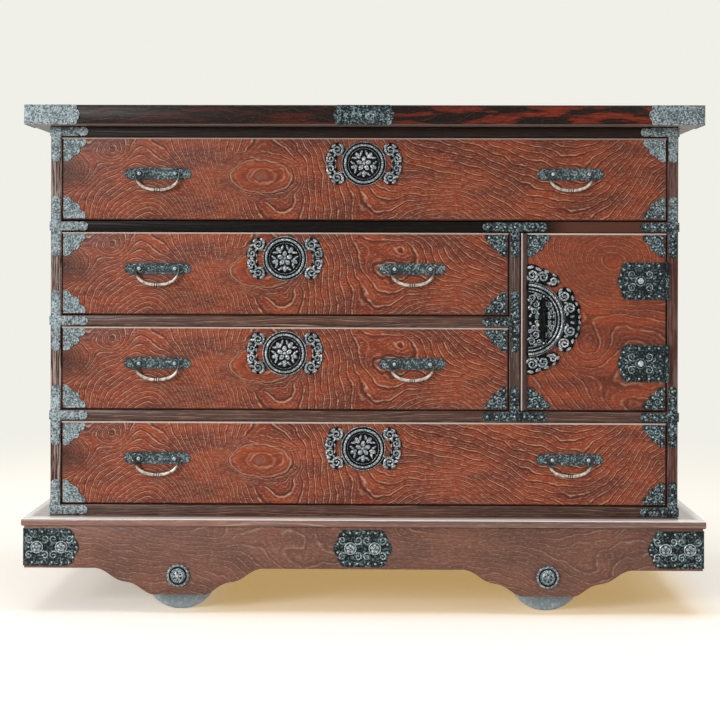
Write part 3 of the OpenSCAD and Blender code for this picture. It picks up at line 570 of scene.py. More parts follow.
base_chasing = Chasing(0, base_middle, base_plate_face)
stud_stars = Chasing(0, base_middle, base_plate_face)
for across in stud_spots:
    for side in (-1, 1):
        for up in (-1, 1):
            base_chasing.curl(across + side * 8.6, up * 9.0, 4.8, up * 225, up * 1.3, 0.9, side, -0.2)
    for turn in range(90, 450, 72):
        ray = turn + 36
        base_nails.bead(*round_from(across, 0, 3.2, turn), 1.6, 0.9, 1.9, 1.25, turn)
        stud_stars.bead(*round_from(across, 0, 1.3, ray), 0.42, 0.35, 3.75, 2.4, ray, fine=1)
    stud_stars.arc(across, 0, 7.5, 0, 360, 0.5, -0.2)
    base_nails.arc(across, 0, 6.3, 0, 360, 0.8, 0.3)
base_nails.finish("base_nails", nail_iron, "iron", "case")
base_chasing.finish("base_chasing", chased_iron, "iron", "case")
stud_stars.finish("stud_stars", dark_iron, "dark_iron", "case")

side_border = [(-206, 8), (-157.5, 11), (-154.5, 5)] + [(v, 17) for v in (-200, -189, -178, -167)]
for name, side in (("left", -1), ("right", 1)):
    work = Chasing(0, base_middle, side * (skirt_end + plate_thick), side)
    nail_row(work, both_halves(side_border) + [(-206, 0), (-196, 0), (-183, 0)])
    for up in (-1, 1):
        work.curl(-189.5, up * 8.5, 4.6, up * 225, up * 1.3, 0.55, 1, -0.25)
        work.curl(-170, up * 8.5, 4.6, up * 225, up * 1.3, 0.55, -1, -0.25)
    work.finish(f"base_side_chasing_{name}", nail_iron, "iron", "case")


# ---- Case ----
# The case is a frame of dark lacquered boards: two sides, a partition beside the door, rails between
# the rows and a thin back, joined with housings. The sides show their grain upright.

rail_black = (paint(9, 7, 6), paint(18, 12, 10), paint(52, 38, 33), paint(4, 3, 3))
rail_brown = (paint(76, 46, 37), paint(102, 66, 52), paint(172, 138, 120), paint(26, 16, 14))
upper_lacquer = straight_grain(
    "upper_lacquer", (1, 0, 0), (0, 1, 1), 5,
    (paint(32, 23, 20), paint(44, 31, 27), paint(80, 64, 57), paint(14, 10, 9)),
    seed=5, bold=0.5, coat=0.0, gloss=0.15)
# The rail under the top drawers is painted near black as painted shade and dark reflection, which thins to
# brown towards its right end.
shadow_lacquer = straight_grain(
    "shadow_lacquer", (1, 0, 0), (0, 1, 1), 5, rail_black, seed=7, bold=0.5, coat=0.0, gloss=0.1,
    painted_light=(196, 236, 0.5, (136, 86, 68)))
rail_lacquer = straight_grain("rail_lacquer", (1, 0, 0), (0, 1, 1), 3.6, rail_brown, seed=9, bold=1.0)
post_lacquer = straight_grain(
    "post_lacquer", (0, 0, 1), (1, -1, 0), 3.6,
    (paint(78, 50, 44), paint(104, 70, 60), paint(176, 158, 150), paint(34, 22, 21)), seed=23, sway=1.2)
bare_wood = straight_grain(
    "bare_wood", (1, 0, 0), (0, 1, 1), 8,
    (paint(192, 160, 116), paint(208, 178, 134), paint(178, 142, 98), paint(160, 126, 86)),
    seed=3, bold=0.6, coat=0.0)

sides = Finish("side_lacquer")
x, y, z = sides.ways()
side_flat = sides.flat(z, sides.total(y, sides.times(x, -1.0)))
side_field = sides.total(
    sides.times(sides.maths("SUBTRACT", x, y), 0.075),
    *sides.swells(
        side_flat, (300, 330, 190, 60, 2, 9), (330, -300, 170, 70, -3, 9), (160, 420, 120, 50, 6, 5),
        (440, -400, 110, 60, 4, 5)),
)
sides.lacquered(
    side_flat, side_field, paint(82, 50, 43), paint(110, 68, 57), paint(196, 176, 164), paint(34, 22, 21),
    bold=0.42, sway=1.6, coat=0.05, gloss=0.15)
# The boards' front edges are darker than their sides, and streaked: strongly on the left board, whose
# x is below nought, and faintly on the redder right one.
streak_noise = sides.noise(sides.stretched(sides.place, 1, 0.2, 0.03), 1.7, 2, 0.7)
streaks = sides.span(streak_noise, 0.49, 0.57)
case_front = -187
front_edge = sides.span(y, case_front + 1.0, case_front + 0.4)
sides.overlaid(sides.times(front_edge, 0.6), (52, 32, 28))
sides.overlaid(sides.times(front_edge, sides.span(x, 0, 10, 0, 0.5)), (98, 50, 38))
streak_share = sides.span(x, 0, 10, 0.75, 0.2)
side_lacquer = sides.overlaid(
    sides.times(sides.times(streaks, front_edge), streak_share), (200, 178, 168))

for node, lacquer in (
    ("upper_rail", upper_lacquer), ("divider_upper", shadow_lacquer), ("divider_middle", rail_lacquer),
    ("divider_lower", rail_lacquer), ("bottom_board", rail_lacquer), ("side_left", side_lacquer),
    ("side_right", side_lacquer), ("partition", post_lacquer),
):
    board(node, lacquer, "frame_wood")
board("back_panel", bare_wood, "plain_wood")
board("door_stop_strip", bare_wood, "plain_wood")


# ---- Straps over the joints of the frame ----
# Iron straps with round ends cover the joints of rails and posts, and turn round the front corners
# onto the sides. They are held by small round nails.

board("frame_plates", plate_iron, "iron", 0.3 * mm)

post_x = 345
partition_x = 169
case_end = 351
strap_face = -188.2
strap_nail = (1.35, 1.0)
rail_levels = (534.5, 428.5, 322.5, 216.5, 110.5)
strap_nails = Chasing(0, 0, strap_face)


def strap_heads(post, level, hands, ups):
    """The nail heads of one strap: on its middle, its arms along the rail and its arms on the post."""
    spots = [(post, level)]
    spots += [(post + hand * u, level) for hand in hands for u in (11, 20, 30.5)]
    spots += [(post, level + up * v) for up in ups for v in (10, 19, 28.5)]
    nail_row(strap_nails, spots, *strap_nail)


# The middle rail ends at the partition, so the right post has no strap at its level.
strapped = {side: [n for n in range(5) if side < 0 or n != 2] for side in (-1, 1)}
for side in (-1, 1):
    for number in strapped[side]:
        ups = [1] * (number > 0) + [-1] * (number < 4)
        strap_heads(side * post_x, rail_levels[number], (-side,), ups)
for number, hands, ups in ((1, (-1, 1), (-1,)), (2, (-1,), (1, -1)), (3, (-1, 1), (1,))):
    strap_heads(partition_x, rail_levels[number], hands, ups)
strap_nails.finish("strap_nails", nail_iron, "iron", "case")
for name, side in (("left", -1), ("right", 1)):
    wrap = Chasing(0, 0, side * (case_end + plate_thick), side)
    for number in strapped[side]:
        nail_row(wrap, [(v, rail_levels[number]) for v in (-182, -173, -167.5)], *strap_nail)
    wrap.finish(f"strap_wrap_nails_{name}", nail_iron, "iron", "case")


# ---- Top board ----
# One thick board overhangs the case all round. Its lacquer is nearly black, with red flames of grain
# towards the right; iron caps wrap its front corners and a plate with small blossoms marks its middle.

top = Finish("top_lacquer")
x, y, z = top.ways()
top_low, top_high = 540.5, 562.5
top_across = top.total(y, top.times(z, -1.0))
top_flat = top.flat(x, top_across)
top_field = top.total(
    top.times(top_across, 0.1),
    *top.swells(
        top_flat, (-210, -660, 150, 90, 3, 8), (60, -560, 190, 80, -4, 9), (270, -720, 130, 90, 5, 10),
        (-120, -470, 220, 70, 2, 7)),
)
flames = top.noise(top.stretched(top_flat, 0.16, 1), 9, 2, 0.6)
flame_share = top.times(
    top.times(top.span(flames, 0.47, 0.6), top.span(x, -160, 240, 0.12, 1.0)),
    top.span(z, top_high - 1.0, top_high - 3.5, 0.16, 1.0))
top_ground = top.mix(flame_share, paint(27, 17, 15), paint(150, 56, 36))
top.lacquered(
    top_flat, top_field, top_ground, top_ground, paint(92, 66, 56), paint(10, 7, 7),
    bold=0.4, coat=0.05, gloss=0.12)
# The lower front arris of the top is painted pale: a painted highlight.
low_arris_highlight = top.span(z, top_low + 1.1, top_low + 0.5, 0, 0.8)
top_lacquer = top.overlaid(low_arris_highlight, (150, 130, 122))

board("top_board", top_lacquer, "top_wood")
plate("top_plates", plate_iron, rim=1.0)

top_middle = (top_low + top_high) / 2
top_end = 375
top_face = -211
small_nail = (1.25, 1.0)
cap_border = [(u, 7.8) for u in (371, 361, 351, 341, 331, 322)] + [(319.6, 4.8)]
top_chasing = Chasing(0, top_middle, top_face - plate_thick)
top_nails = Chasing(0, top_middle, top_face - plate_thick)
for side in (-1, 1):
    nail_row(top_nails, [(side * u, v) for u, v in both_halves(cap_border) + [(317.6, 0)]], *small_nail)
    for u, way in ((365, 1), (353, -1), (341, 1), (329, -1)):
        top_chasing.curl(side * u, 0, 4.8, 90 + way * 90, way * 1.3, 0.75, side, -0.25)
    for up in (1, -1):
        top_chasing.curl(side * 26.5, up * 3.3, 3.2, up * 250, up * 1.2, 0.5, side, -0.2)
for number in range(6):
    top_chasing.blossom(-20 + 8 * number, 0, 2.7, 0.9, -0.3)
top_chasing.finish("top_chasing", chased_iron, "iron", "case")
top_nails.finish("top_nails", nail_iron, "iron", "case")
side_border = [(v, 7.8) for v in (-207, -196, -185, -174, -163)] + [(-155.2, 4.8)]
for name, side in (("left", -1), ("right", 1)):
    work = Chasing(0, top_middle, side * (top_end + plate_thick), side)
    nail_row(work, both_halves(side_border) + [(-153.4, 0)], *small_nail)
    for v, way in ((-201, 1), (-189, -1), (-177, 1), (-165, -1)):
        work.curl(v, 0, 4.6, 90 + way * 90, way * 1.3, 0.5, 1, -0.25)
    work.finish(f"top_side_chasing_{name}", nail_iron, "iron", "case")


# ---- Drawers ----
# Each drawer is a box of bare softwood behind a thick front of figured zelkova under red-brown
# lacquer, its front edges chamfered. Iron corner plates are nailed on inside the chamfer.

front_colours = (paint(120, 50, 35), paint(164, 71, 40), paint(210, 168, 138), paint(60, 30, 24))
row_bottom = 116.5
row_pitch = 106
opening_half = 47
front_half = 46.1
long_half = 338.2
short_right = 162.2


def chamfer_shade_and_highlight(wood, dark_edges, top_edge, start, share):
    """Paints shade on the chamfers of a front and a pale highlight on its top one. An edge is the way
    that crosses it, where it lies, and plus or minus one for the way inward."""
    def on_chamfer(way, edge, inward, start):
        return wood.span(way, edge + inward * start, edge + inward * (start - 0.6))
    shaded = on_chamfer(*dark_edges[0], 1.7)
    for edge in dark_edges[1:]:
        shaded = wood.maths("MAXIMUM", shaded, on_chamfer(*edge, 1.7))
    wood.overlaid(wood.times(shaded, 0.85), (36, 21, 18))
    return wood.overlaid(wood.times(on_chamfer(*top_edge, start), share), (226, 212, 200))


def front_finish(name, short):
    """The zelkova of the drawer fronts, with an eye in its figure left of the middle."""
    wood = Finish(name)
    x, y, z = wood.ways()
    v = wood.total(wood.maths("MODULO", wood.total(z, -row_bottom), row_pitch), -opening_half)
    flat = wood.flat(x, v)
    lying = wood.times(wood.times(v, -1 / 9), wood.span(x, -35, 75))
    eye = wood.oval(flat, -115, 3, 34.5, 18.5, -3)
    eye_reach = wood.total(
        wood.step("VectorMath", "Value", {0: eye}, operation="LENGTH"),
        wood.times(wood.noise(flat, 14, 1), 0.24), -0.12)
    # The lines lap round the eye, dip under the left handle, close round a small knot and the dark
    # knot at the left end, and arch over the middle of the lower edge.
    round_it = wood.total(
        *wood.swells(
            flat, (-100, -4, 84, 150, 14, 15), (-238, -66, 62, 70, 0, -16), (-281, 32, 18, 16, 0, 4.5),
            (-340, 9, 27, 18, 0, 9), (100, -60, 56, 44, 0, 7)),
        lying,
        wood.span(x, 240, 370, 0, 12),
        wood.span(x, 55, 245, 0, -6),
    )
    if short:
        round_it = wood.total(round_it, wood.swell(flat, 52, 34, 44, 30, 0, 6))
    inside = wood.span(eye_reach, 1.6, 1.0)
    in_it = wood.total(17.6, wood.times(eye_reach, -1.3))
    field = wood.total(
        wood.times(round_it, wood.maths("SUBTRACT", 1.0, inside)), wood.times(in_it, inside))
    wood.lacquered(flat, field, *front_colours, bold=0.85, coat=0.08, gloss=0.2)
    wood.overlaid(wood.span(eye_reach, 1.0, 0.8, 0, 0.4), (172, 76, 42))
    for inner, middle, outer, share, colour in (
        (1.02, 1.09, 1.2, 0.8, (70, 42, 36)), (0.93, 1.0, 1.06, 0.85, (178, 156, 128)),
        (0.5, 0.56, 0.66, 0.55, (92, 48, 36)), (0.42, 0.47, 0.52, 0.4, (190, 136, 100)),
    ):
        wood.overlaid(wood.times(wood.peak(eye_reach, inner, middle, outer), share), colour)
    wood.overlaid(wood.span(eye_reach, 0.3, 0.1, 0, 0.65), (126, 92, 78))
    lower_ring = wood.times(wood.peak(eye_reach, 1.46, 1.52, 1.58), wood.span(v, -4, -14, 0, 0.8))
    wood.overlaid(lower_ring, (178, 156, 128))
    wood.overlaid(wood.swell(flat, -342, 9, 30, 20, 0, 0.85), (34, 19, 16))
    right = short_right if short else long_half
    # Painted shade on the lower and end chamfers, and a painted highlight on the top one.
    return chamfer_shade_and_highlight(
        wood, ((v, -front_half, 1), (x, -long_half, 1), (x, right, -1)), (v, front_half, -1), 1.8, 0.8)


long_front_lacquer = front_finish("long_front_lacquer", False)
short_front_lacquer = front_finish("short_front_lacquer", True)

front_face = -188.5
iron_face = front_face - plate_thick


def corner_plates(owner):
    """The four iron corner plates of a drawer or the door, with their nails and chased scrolls."""
    plate(owner + "_corner_plates", plate_iron)
    low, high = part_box(owner + "_corner_plates")
    corners = Chasing(0, 0, iron_face)
    heads = Chasing(0, 0, iron_face)
    for u, side in ((low.x / mm, 1), (high.x / mm, -1)):
        for v, up in ((low.z / mm, 1), (high.z / mm, -1)):
            nail_row(heads, [(u + side * a, v + up * b) for a, b in (
                (3.4, 3.4), (11.5, 3), (20.5, 3.4), (3, 11.5), (3.4, 20.5), (13.4, 13.4))], *small_nail)
            corners.curl(u + side * 8.6, v + up * 8.6, 4.8, 45 * up, up * 1.3, 0.8, side, -0.2)
            corners.curl(u + side * 17.5, v + up * 8.2, 3.0, 200 * up, up * 1.2, 0.65, side, -0.2)
            corners.curl(u + side * 8.2, v + up * 17.5, 3.0, 70 * up, -up * 1.2, 0.65, side, -0.2)
    corners.finish(owner + "_corner_chasing", chased_iron, "iron", owner)
    heads.finish(owner + "_corner_nails", nail_iron, "iron", owner)


for number in range(1, 5):
    drawer = f"drawer_{number}"
    lacquer = long_front_lacquer if number in (1, 4) else short_front_lacquer
    board(drawer + "_front", lacquer, "front_wood", 0.3 * mm)
    board(drawer + "_box", bare_wood, "plain_wood", 0.5 * mm)
    corner_plates(drawer)


# ---- Drawer locks ----
# A round iron plate is let into an open spray of chased leaf scrolls on each drawer. A raised double
# ring frames a sunken medallion with a five-petalled flower among leaves.

lock_thick = 1.6
lock_face = front_face - lock_thick
ring_top = 4.4 - lock_thick
for number in range(1, 5):
    drawer = f"drawer_{number}"
    board(drawer + "_lock_plate", dark_iron, "dark_iron", 0.25 * mm)
    low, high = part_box(drawer + "_lock_plate")
    lock = Chasing((low.x + high.x) / 2 / mm, (low.z + high.z) / 2 / mm, lock_face)
    lock.arc(0, 0, 24.3, 0, 360, 0.6, 0.0)
    lock.arc(0, 0, 20.9, 0, 360, 1.25, ring_top - 0.4)
    lock.arc(0, 0, 17.7, 0, 360, 0.55, 0.6)
    for turn in range(90, 450, 72):
        ray = turn + 36
        lock.leaf(*round_from(0, 0, 5.3, turn), 6.6, 5.0, 1.0, turn, 1.2)
        lock.leaf(*round_from(0, 0, 11.2, ray), 7.8, 4.6, 1.1, ray, 0.8)
        for hand in (-1, 1):
            lock.leaf(*round_from(0, 0, 12.0, ray + hand * 21), 5.8, 2.7, 1.0, ray + hand * 52, 0.5)
            lock.bead(*round_from(0, 0, 14.2, turn + hand * 9), 1.1, 0.9, 0.4, fine=1)
    lock.bead(0, 0, 2.0, 1.3, 1.4)
    for side in (-1, 1):
        for up in (-1, 1):
            lock.curl(side * 29.5, up * 15.6, 6.2, 150 * up, up * 1.5, 1.35, side, 0.1)
            lock.curl(side * 36.8, up * 5.6, 4.8, 60 * up, -up * 1.3, 1.2, side, 0.1)
            for u, v, length, width, height, turn in (
                (25.0, 20.2, 7.6, 3.6, 1.7, 35), (33.8, 20.0, 6.6, 3.4, 1.7, -40),
                (36.6, 14.6, 6.4, 3.2, 1.6, -15), (38.4, 10.6, 5.6, 2.9, 1.5, 15),
                (32.2, 9.6, 5.2, 2.6, 1.4, -60), (41.2, 3.0, 4.2, 2.0, 1.1, 70),
                (31.6, 3.2, 4.6, 1.8, 1.1, 80),
            ):
                lock.leaf(side * u, up * v, length, width, height, up * turn, 0.1, side)
        lock.leaf(side * 37.0, 0, 5.0, 2.2, 1.2, 0, 0.1, side)
        lock.arc(side * 26.5, 0, 9.8, 70, 110, 0.45, 0.0)
        lock.arc(side * 26.5, 0, 9.8, 250, 290, 0.45, 0.0)
    lock.finish(drawer + "_lock_chasing", raised_iron, "dark_iron", drawer)


# ---- Handles ----
# Each handle is a forged bail hanging from two ball-headed posts, which are riveted through an iron
# backplate with leaf-shaped ends. A turned collar marks the middle of each bail.

bail_y = -195
bail_drop = 18.3
post_reach = 20
pivot_below_top = 1.5
low_row_pivot = 169.2
row_cut = 30
bails = Finish("bail_iron")
x, y, z = bails.ways()
# The rows repeat from a cut below the pivots, so that each spot gets its height over its own pivot.
over_pivot = bails.total(
    bails.maths("MODULO", bails.total(z, row_cut - low_row_pivot), row_pitch), -row_cut)
bail_clouds = bails.noise(bails.place, 3.5, 2, 0.6)
# The front of each bail's lower part is painted cream over the dark iron: a painted highlight.
painted_highlight_front = bails.span(y, bail_y - 0.7, bail_y - 1.6)
bail_iron = bails.dress(
    Base_Color=bails.mix(
        bails.times(bails.span(over_pivot, -6, -12), painted_highlight_front),
        bails.ramp(bail_clouds, (0.3, paint(10, 12, 13)), (0.75, paint(70, 76, 78))),
        bails.ramp(bail_clouds, (0.3, paint(140, 131, 120)), (0.65, paint(226, 219, 208)))),
    Metallic=0.35,
    Roughness=bails.span(bail_clouds, 0.3, 0.7, 0.24, 0.4),
    Normal=bails.bumped(bail_clouds, 0.08),
)
handle_iron = forged(
    "handle_iron", (44, 56, 60), (140, 156, 160), grain=2.6, roughness=0.4, metallic=0.35, bump=0.2)
for number in range(1, 5):
    drawer = f"drawer_{number}"
    plate(drawer + "_handle_plates", handle_iron, rim=0.8)
    ends = Chasing(0, 0, iron_face)
    post_highlight_caps = Chasing(0, 0, iron_face)
    for side in ("left", "right"):
        bail = f"{drawer}_bail_{side}"
        board(bail, bail_iron, "bail_iron", 0.1 * mm)
        low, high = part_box(bail)
        middle = (low.x + high.x) / 2 / mm
        pivot = high.z / mm - pivot_below_top
        for hand in (-1, 1):
            ends.curl(middle + hand * 31.6, pivot + 1.8, 3.0, 200, 1.3, 0.6, hand, 0.0)
            ends.curl(middle + hand * 31.0, pivot - 2.6, 2.8, 160, -1.3, 0.6, hand, 0.0)
            ends.leaf(middle + hand * 26.0, pivot + 4.0, 4.6, 1.8, 0.9, -20, 0.0, hand)
            ends.leaf(middle + hand * 26.4, pivot - 3.6, 5.2, 2.0, 0.9, 24, 0.0, hand)
            ends.bead(middle + hand * 35.4, pivot, 1.1, 0.9, 0.0)
            ends.arc(middle + hand * post_reach, pivot, 3.9, 0, 360, 0.45, 0.0)
            # A pale cap on the front of each ball post is a painted highlight.
            post_highlight_caps.bead(middle + hand * post_reach, pivot, 2.1, 0.9, 7.7)
            ends.curl(middle - hand * 5, pivot, 2.6, 0, 1.3, 0.45, hand, -0.2)
        collar = bmesh.new()
        for across, radius in ((-2.4, 2.35), (0, 2.6), (2.4, 2.35)):
            ring_middle = Vector((middle + across, bail_y, pivot - bail_drop)) * mm
            bmesh.ops.create_cone(
                collar, cap_ends=True, cap_tris=False, segments=20, radius1=radius * mm,
                radius2=radius * mm, depth=0.9 * mm,
                matrix=Matrix.Translation(ring_middle) @ Matrix.Rotation(math.pi / 2, 4, "Y"))
        ease_edges(collar, 0.25 * mm)
        settle(bail + "_collar", collar, dark_iron, "dark_iron", bail)
    ends.finish(drawer + "_handle_chasing", chased_iron, "iron", drawer)
    post_highlight_caps.finish(drawer + "_post_highlight_caps", nail_iron, "iron", drawer)


# ---- Door ----
# One figured board of the same red-brown zelkova, hung at the right on two iron hinges. A dark
# bevelled strip runs down its free edge, with a half-round lock plate against it.

door = Finish("door_lacquer")
x, y, z = door.ways()
door_flat = door.flat(x, z)
door_field = door.total(
    door.times(z, 0.045),
    door.times(x, 0.035),
    *door.swells(
        door_flat, (272, 389, 58, 40, -8, 12), (246, 294, 34, 40, 20, 5), (300, 226, 66, 26, -6, 4)),
)
door.lacquered(
    door_flat, door_field, paint(122, 53, 36), paint(164, 72, 41), paint(184, 146, 120), paint(70, 36, 28),
    bold=0.62, sway=1.6, coat=0.08, gloss=0.2)
door.overlaid(door.swell(door_flat, 262, 380, 52, 36, 0, 0.25), (190, 92, 54))
door_left, door_right = 176, 338
door_low, door_high = 223.3, 421.7
# Painted shade on the lower and right chamfers, and a painted highlight on the top one.
door_lacquer = chamfer_shade_and_highlight(
    door, ((z, door_low, 1), (x, door_right, -1)), (z, door_high, -1), 2.3, 0.9)
# The strip's left bevel is painted near white: a painted highlight.
strip_lacquer = straight_grain(
    "strip_lacquer", (0, 0, 1), (1, 1, 0), 4,
    (paint(54, 36, 32), paint(78, 54, 48), paint(130, 108, 100), paint(30, 21, 20)),
    seed=29, bold=0.5, sway=1.0, painted_light=(door_left + 1.4, door_left + 1.0, 0.9, (232, 214, 208)))

board("door_panel", door_lacquer, "front_wood", 0.3 * mm)
board("door_edge_strip", strip_lacquer, "frame_wood", 0.3 * mm)
corner_plates("door")


# ---- Door lock ----
# Half a ringed iron plate, thick with chased leaf scrolls inside and round the ring. An upright round
# bar on two studs is the pull.

board("door_lock_plate", dark_iron, "dark_iron", 0.25 * mm)
lock_edge = 183
lock_level = 325.3
great = Chasing(lock_edge, lock_level, lock_face)
great_ring_top = 5 - lock_thick
for radius, half_turn, width, rise in (
    (38.7, 88.5, 1.3, great_ring_top - 0.4), (34.6, 88.5, 0.8, great_ring_top - 0.2),
    (31.4, 88, 0.6, 0.1), (41.4, 88, 0.5, 0.1),
):
    great.arc(0, 0, radius, -half_turn, half_turn, width, rise)
# The upper half of the chasing, which the lower half mirrors. Each scroll has its middle, size,
# start, turns and hand; each leaf its middle, length, width and turn.
inner_scrolls = (
    (4.6, 24.4, 4.6, 200, 1.5, 1), (13.0, 24.8, 3.6, 20, 1.4, -1), (9.4, 17.0, 3.8, 90, -1.4, 1),
    (24.4, 17.2, 4.2, 140, 1.5, 1), (27.4, 8.0, 3.8, 240, -1.4, 1), (7.6, 8.8, 4.2, 300, 1.4, 1),
    (24.0, 2.6, 2.4, 60, 1.2, -1), (10.8, 2.4, 2.2, 60, 1.2, 1), (3.2, 13.4, 2.6, 0, -1.3, 1),
)
inner_leaves = (
    (9.4, 28.4, 5.4, 2.2, 10), (18.6, 24.2, 5.0, 2.2, -40), (4.2, 18.6, 4.4, 2.0, 70),
    (28.2, 12.6, 4.6, 2.0, -70), (29.4, 3.2, 4.2, 2.0, 80), (12.6, 12.6, 4.6, 2.0, 30),
    (3.4, 4.4, 4.6, 2.2, 60), (12.4, 6.2, 3.8, 1.8, -50), (23.4, 12.2, 4.0, 1.8, 60),
    (5.8, 12.4, 3.2, 1.6, -20), (22.6, 7.4, 3.4, 1.6, 20),
)
outer_scrolls = (
    (5.4, 49.6, 7.0, 190, 1.7, 1), (17.2, 47.4, 6.2, 20, 1.6, -1), (28.4, 43.2, 5.0, 200, 1.5, 1),
    (41.2, 26.6, 6.6, 120, 1.7, 1), (47.6, 12.4, 6.8, 250, -1.7, 1),
)
outer_leaves = (
    (3.4, 58.4, 8.0, 3.0, 10), (12.0, 56.2, 7.4, 2.8, -25), (21.4, 53.6, 6.6, 2.6, -20),
    (29.8, 49.4, 5.6, 2.4, -35), (34.2, 42.4, 5.0, 2.4, -70), (11.4, 43.8, 5.0, 2.2, 60),
    (23.4, 39.8, 5.0, 2.0, -40), (36.6, 32.4, 6.6, 2.8, 50), (46.0, 33.0, 6.6, 2.6, -35),
    (50.2, 24.2, 6.0, 2.6, -75), (43.0, 18.6, 5.4, 2.2, -10), (54.6, 17.6, 5.4, 2.4, -60),
    (57.0, 9.6, 5.6, 2.4, -80), (50.0, 3.4, 5.8, 2.4, 15), (58.0, 3.0, 5.0, 2.2, 80),
    (44.4, 6.0, 4.6, 2.0, 60),
)
for up in (-1, 1):
    for u, v, size, start, turns, hand in inner_scrolls:
        great.curl(u, up * v, size, up * start, up * turns, 1.1, hand, 0.1)
    for u, v, length, width, turn in inner_leaves:
        great.leaf(u, up * v, 1.05 * length, 1.3 * width, 1.6, up * turn, 0.1)
    for u, v, size, start, turns, hand in outer_scrolls:
        great.curl(u, up * v, 0.94 * size, up * start, up * turns, 1.4, hand, 0.2)
    for u, v, length, width, turn in outer_leaves:
        great.leaf(u, up * v, length, 1.3 * width, 1.9, up * turn, 0.2)
great.finish("door_lock_chasing", raised_iron, "dark_iron", "door")

pull_x = 17.4
stud_up = 26
stud_top = 7.5 - lock_thick
pull_work = Chasing(lock_edge + pull_x, lock_level, lock_face)
for up in (-1, 1):
    pull_work.arc(0, up * stud_up, 3.3, 0, 360, 0.45, stud_top + 0.8)
    pull_work.bead(0, up * stud_up, 1.2, 0.7, stud_top + 2.0)
pull_work.finish("door_pull_studs", nail_iron, "dark_iron", "door")


# ---- Hinges ----
# Two iron hinges: a long engraved leaf nailed on the door's face, a short one let into the post, and
# a pin through their knuckles. A round stud holds each door leaf.

board("door_hinge_leaves", base_iron, "iron", 0.25 * mm)
board("hinge_post_leaves", plate_iron, "iron", 0.2 * mm)
board("hinge_pins", dark_iron, "dark_iron", 0.1 * mm)
pin_x = door_right + 0.5
leaf_stud_x = pin_x - 29.5
leaf_border = [(u, 17) for u in (9, 20, 31, 42)] + [(48, 12.5), (51.6, 6.5), (7.5, 8)]
hinge_nails = Chasing(0, 0, iron_face)
hinge_work = Chasing(0, 0, iron_face)
for level in (276.5, 368.5):
    nail_row(hinge_nails, [(pin_x - u, level + v) for u, v in both_halves(leaf_border) + [(52.8, 0)]])
    for side in (-1, 1):
        for up in (-1, 1):
            hinge_work.curl(
                leaf_stud_x + side * 9.4, level + up * 7.4, 5.0, up * 225, up * 1.5, 0.65, side, -0.25)
            hinge_work.leaf(
                leaf_stud_x + side * 15.6, level + up * 3.2, 5.0, 1.8, 0.7, up * 40, -0.1, side)
    hinge_work.arc(leaf_stud_x, level, 5.4, 0, 360, 0.5, 0.0)
    hinge_work.arc(leaf_stud_x, level, 3.2, 0, 360, 0.4, 2.2)
    hinge_nails.bead(leaf_stud_x, level, 3.5, 1.5, 2.3)
hinge_nails.finish("hinge_nails", nail_iron, "iron", "door")
hinge_work.finish("hinge_chasing", chased_iron, "iron", "door")


# ---- Floor, light and camera ----
# A pale floor that runs back into a white room. Two soft lamps stand in front and one hangs above.
# The camera stands square to the front, at the height of the upper drawers.

def soft_lamp(name, place, target, width, height, watts):
    lamp = bpy.data.lights.new(name, "AREA")
    lamp.shape = "RECTANGLE"
    lamp.size = width
    lamp.size_y = height
    lamp.energy = watts
    made = bpy.data.objects.new(name, lamp)
    made.location = place
    made.rotation_euler = (Vector(target) - Vector(place)).to_track_quat("-Z", "Y").to_euler()
    bpy.context.scene.collection.objects.link(made)


chest_middle = Vector((0, 0, 0.28))
soft_lamp("key_lamp", (-1.75, -2.4, 1.05), chest_middle, 0.9, 0.9, 38)
soft_lamp("fill_lamp", (2.2, -2.2, 1.6), chest_middle, 1.8, 1.8, 8)
soft_lamp("top_lamp", (0, -0.2, 2.4), chest_middle, 2.4, 1.6, 27)

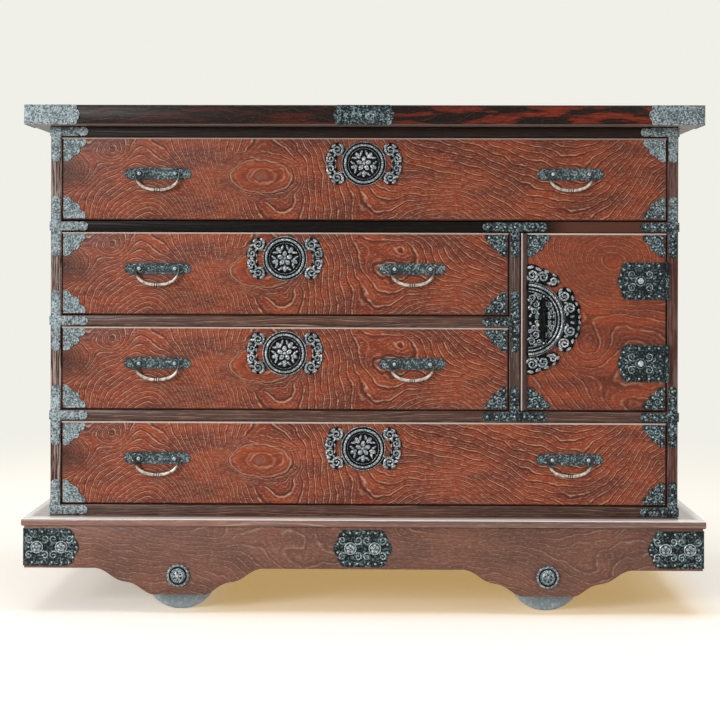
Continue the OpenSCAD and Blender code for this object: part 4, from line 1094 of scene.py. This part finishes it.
wall_white = paint(240, 240, 233)
floor_skin = bmesh.new()
bmesh.ops.create_grid(floor_skin, x_segments=1, y_segments=1, size=6)
floor_mesh = bpy.data.meshes.new("floor")
floor_skin.to_mesh(floor_mesh)
floor_skin.free()
floor = bpy.data.objects.new("floor", floor_mesh)
bpy.context.scene.collection.objects.link(floor)
ground = Finish("floor_paper")
rays = ground.nodes.new("ShaderNodeLightPath")
looked_at = ground.maths("MAXIMUM", rays.outputs["Is Camera Ray"], ground.maths(
    "MAXIMUM", rays.outputs["Is Glossy Ray"], rays.outputs["Is Transmission Ray"]))
away = ground.step("VectorMath", "Value", {0: ground.place}, operation="LENGTH")
near, far = 800, 1900
far_off = ground.span(away, near, far)
x, y, z = ground.ways()
# The floor under the chest glows warm: painted bounce light from the red wood, left out under the chest's
# left end.
painted_warm_bounce = ground.times(
    ground.times(ground.span(x, -280, -140), ground.span(x, 420, 350)),
    ground.span(ground.maths("ABSOLUTE", y), 250, 190))
floor_mesh.materials.append(ground.dress(
    Base_Color=ground.mix(far_off, paint(251, 250, 247), paint(0, 0, 0)),
    Roughness=1.0,
    Specular_IOR_Level=0.0,
    Emission_Color=ground.mix(
        far_off, ground.mix(painted_warm_bounce, paint(255, 246, 232), paint(255, 214, 140)), wall_white),
    Emission_Strength=ground.times(looked_at, ground.span(away, near, far, 0.42, 1.0)),
))

world = bpy.data.worlds.new("room")
bpy.context.scene.world = world
world.use_nodes = True
room = world.node_tree
rays = room.nodes.new("ShaderNodeLightPath")
seen = rays.outputs["Is Camera Ray"]
for ray in ("Is Glossy Ray", "Is Transmission Ray"):
    either = room.nodes.new("ShaderNodeMath")
    either.operation = "MAXIMUM"
    room.links.new(seen, either.inputs[0])
    room.links.new(rays.outputs[ray], either.inputs[1])
    seen = either.outputs[0]
level = room.nodes.new("ShaderNodeMapRange")
level.inputs["To Min"].default_value = 0.32
room.links.new(seen, level.inputs[0])
room.links.new(level.outputs[0], room.nodes["Background"].inputs["Strength"])
room.nodes["Background"].inputs["Color"].default_value = wall_white

camera = bpy.data.cameras.new("camera")
camera.sensor_width = 36
camera.lens = 82.75
camera.shift_y = -0.145
viewer = bpy.data.objects.new("camera", camera)
viewer.location = (0.0228, -2.0386, 0.3961)
viewer.rotation_euler = (math.radians(90), -0.0026, 0.0145)
bpy.context.scene.collection.objects.link(viewer)
bpy.context.scene.camera = viewer
bpy.context.scene.view_settings.view_transform = "Standard"
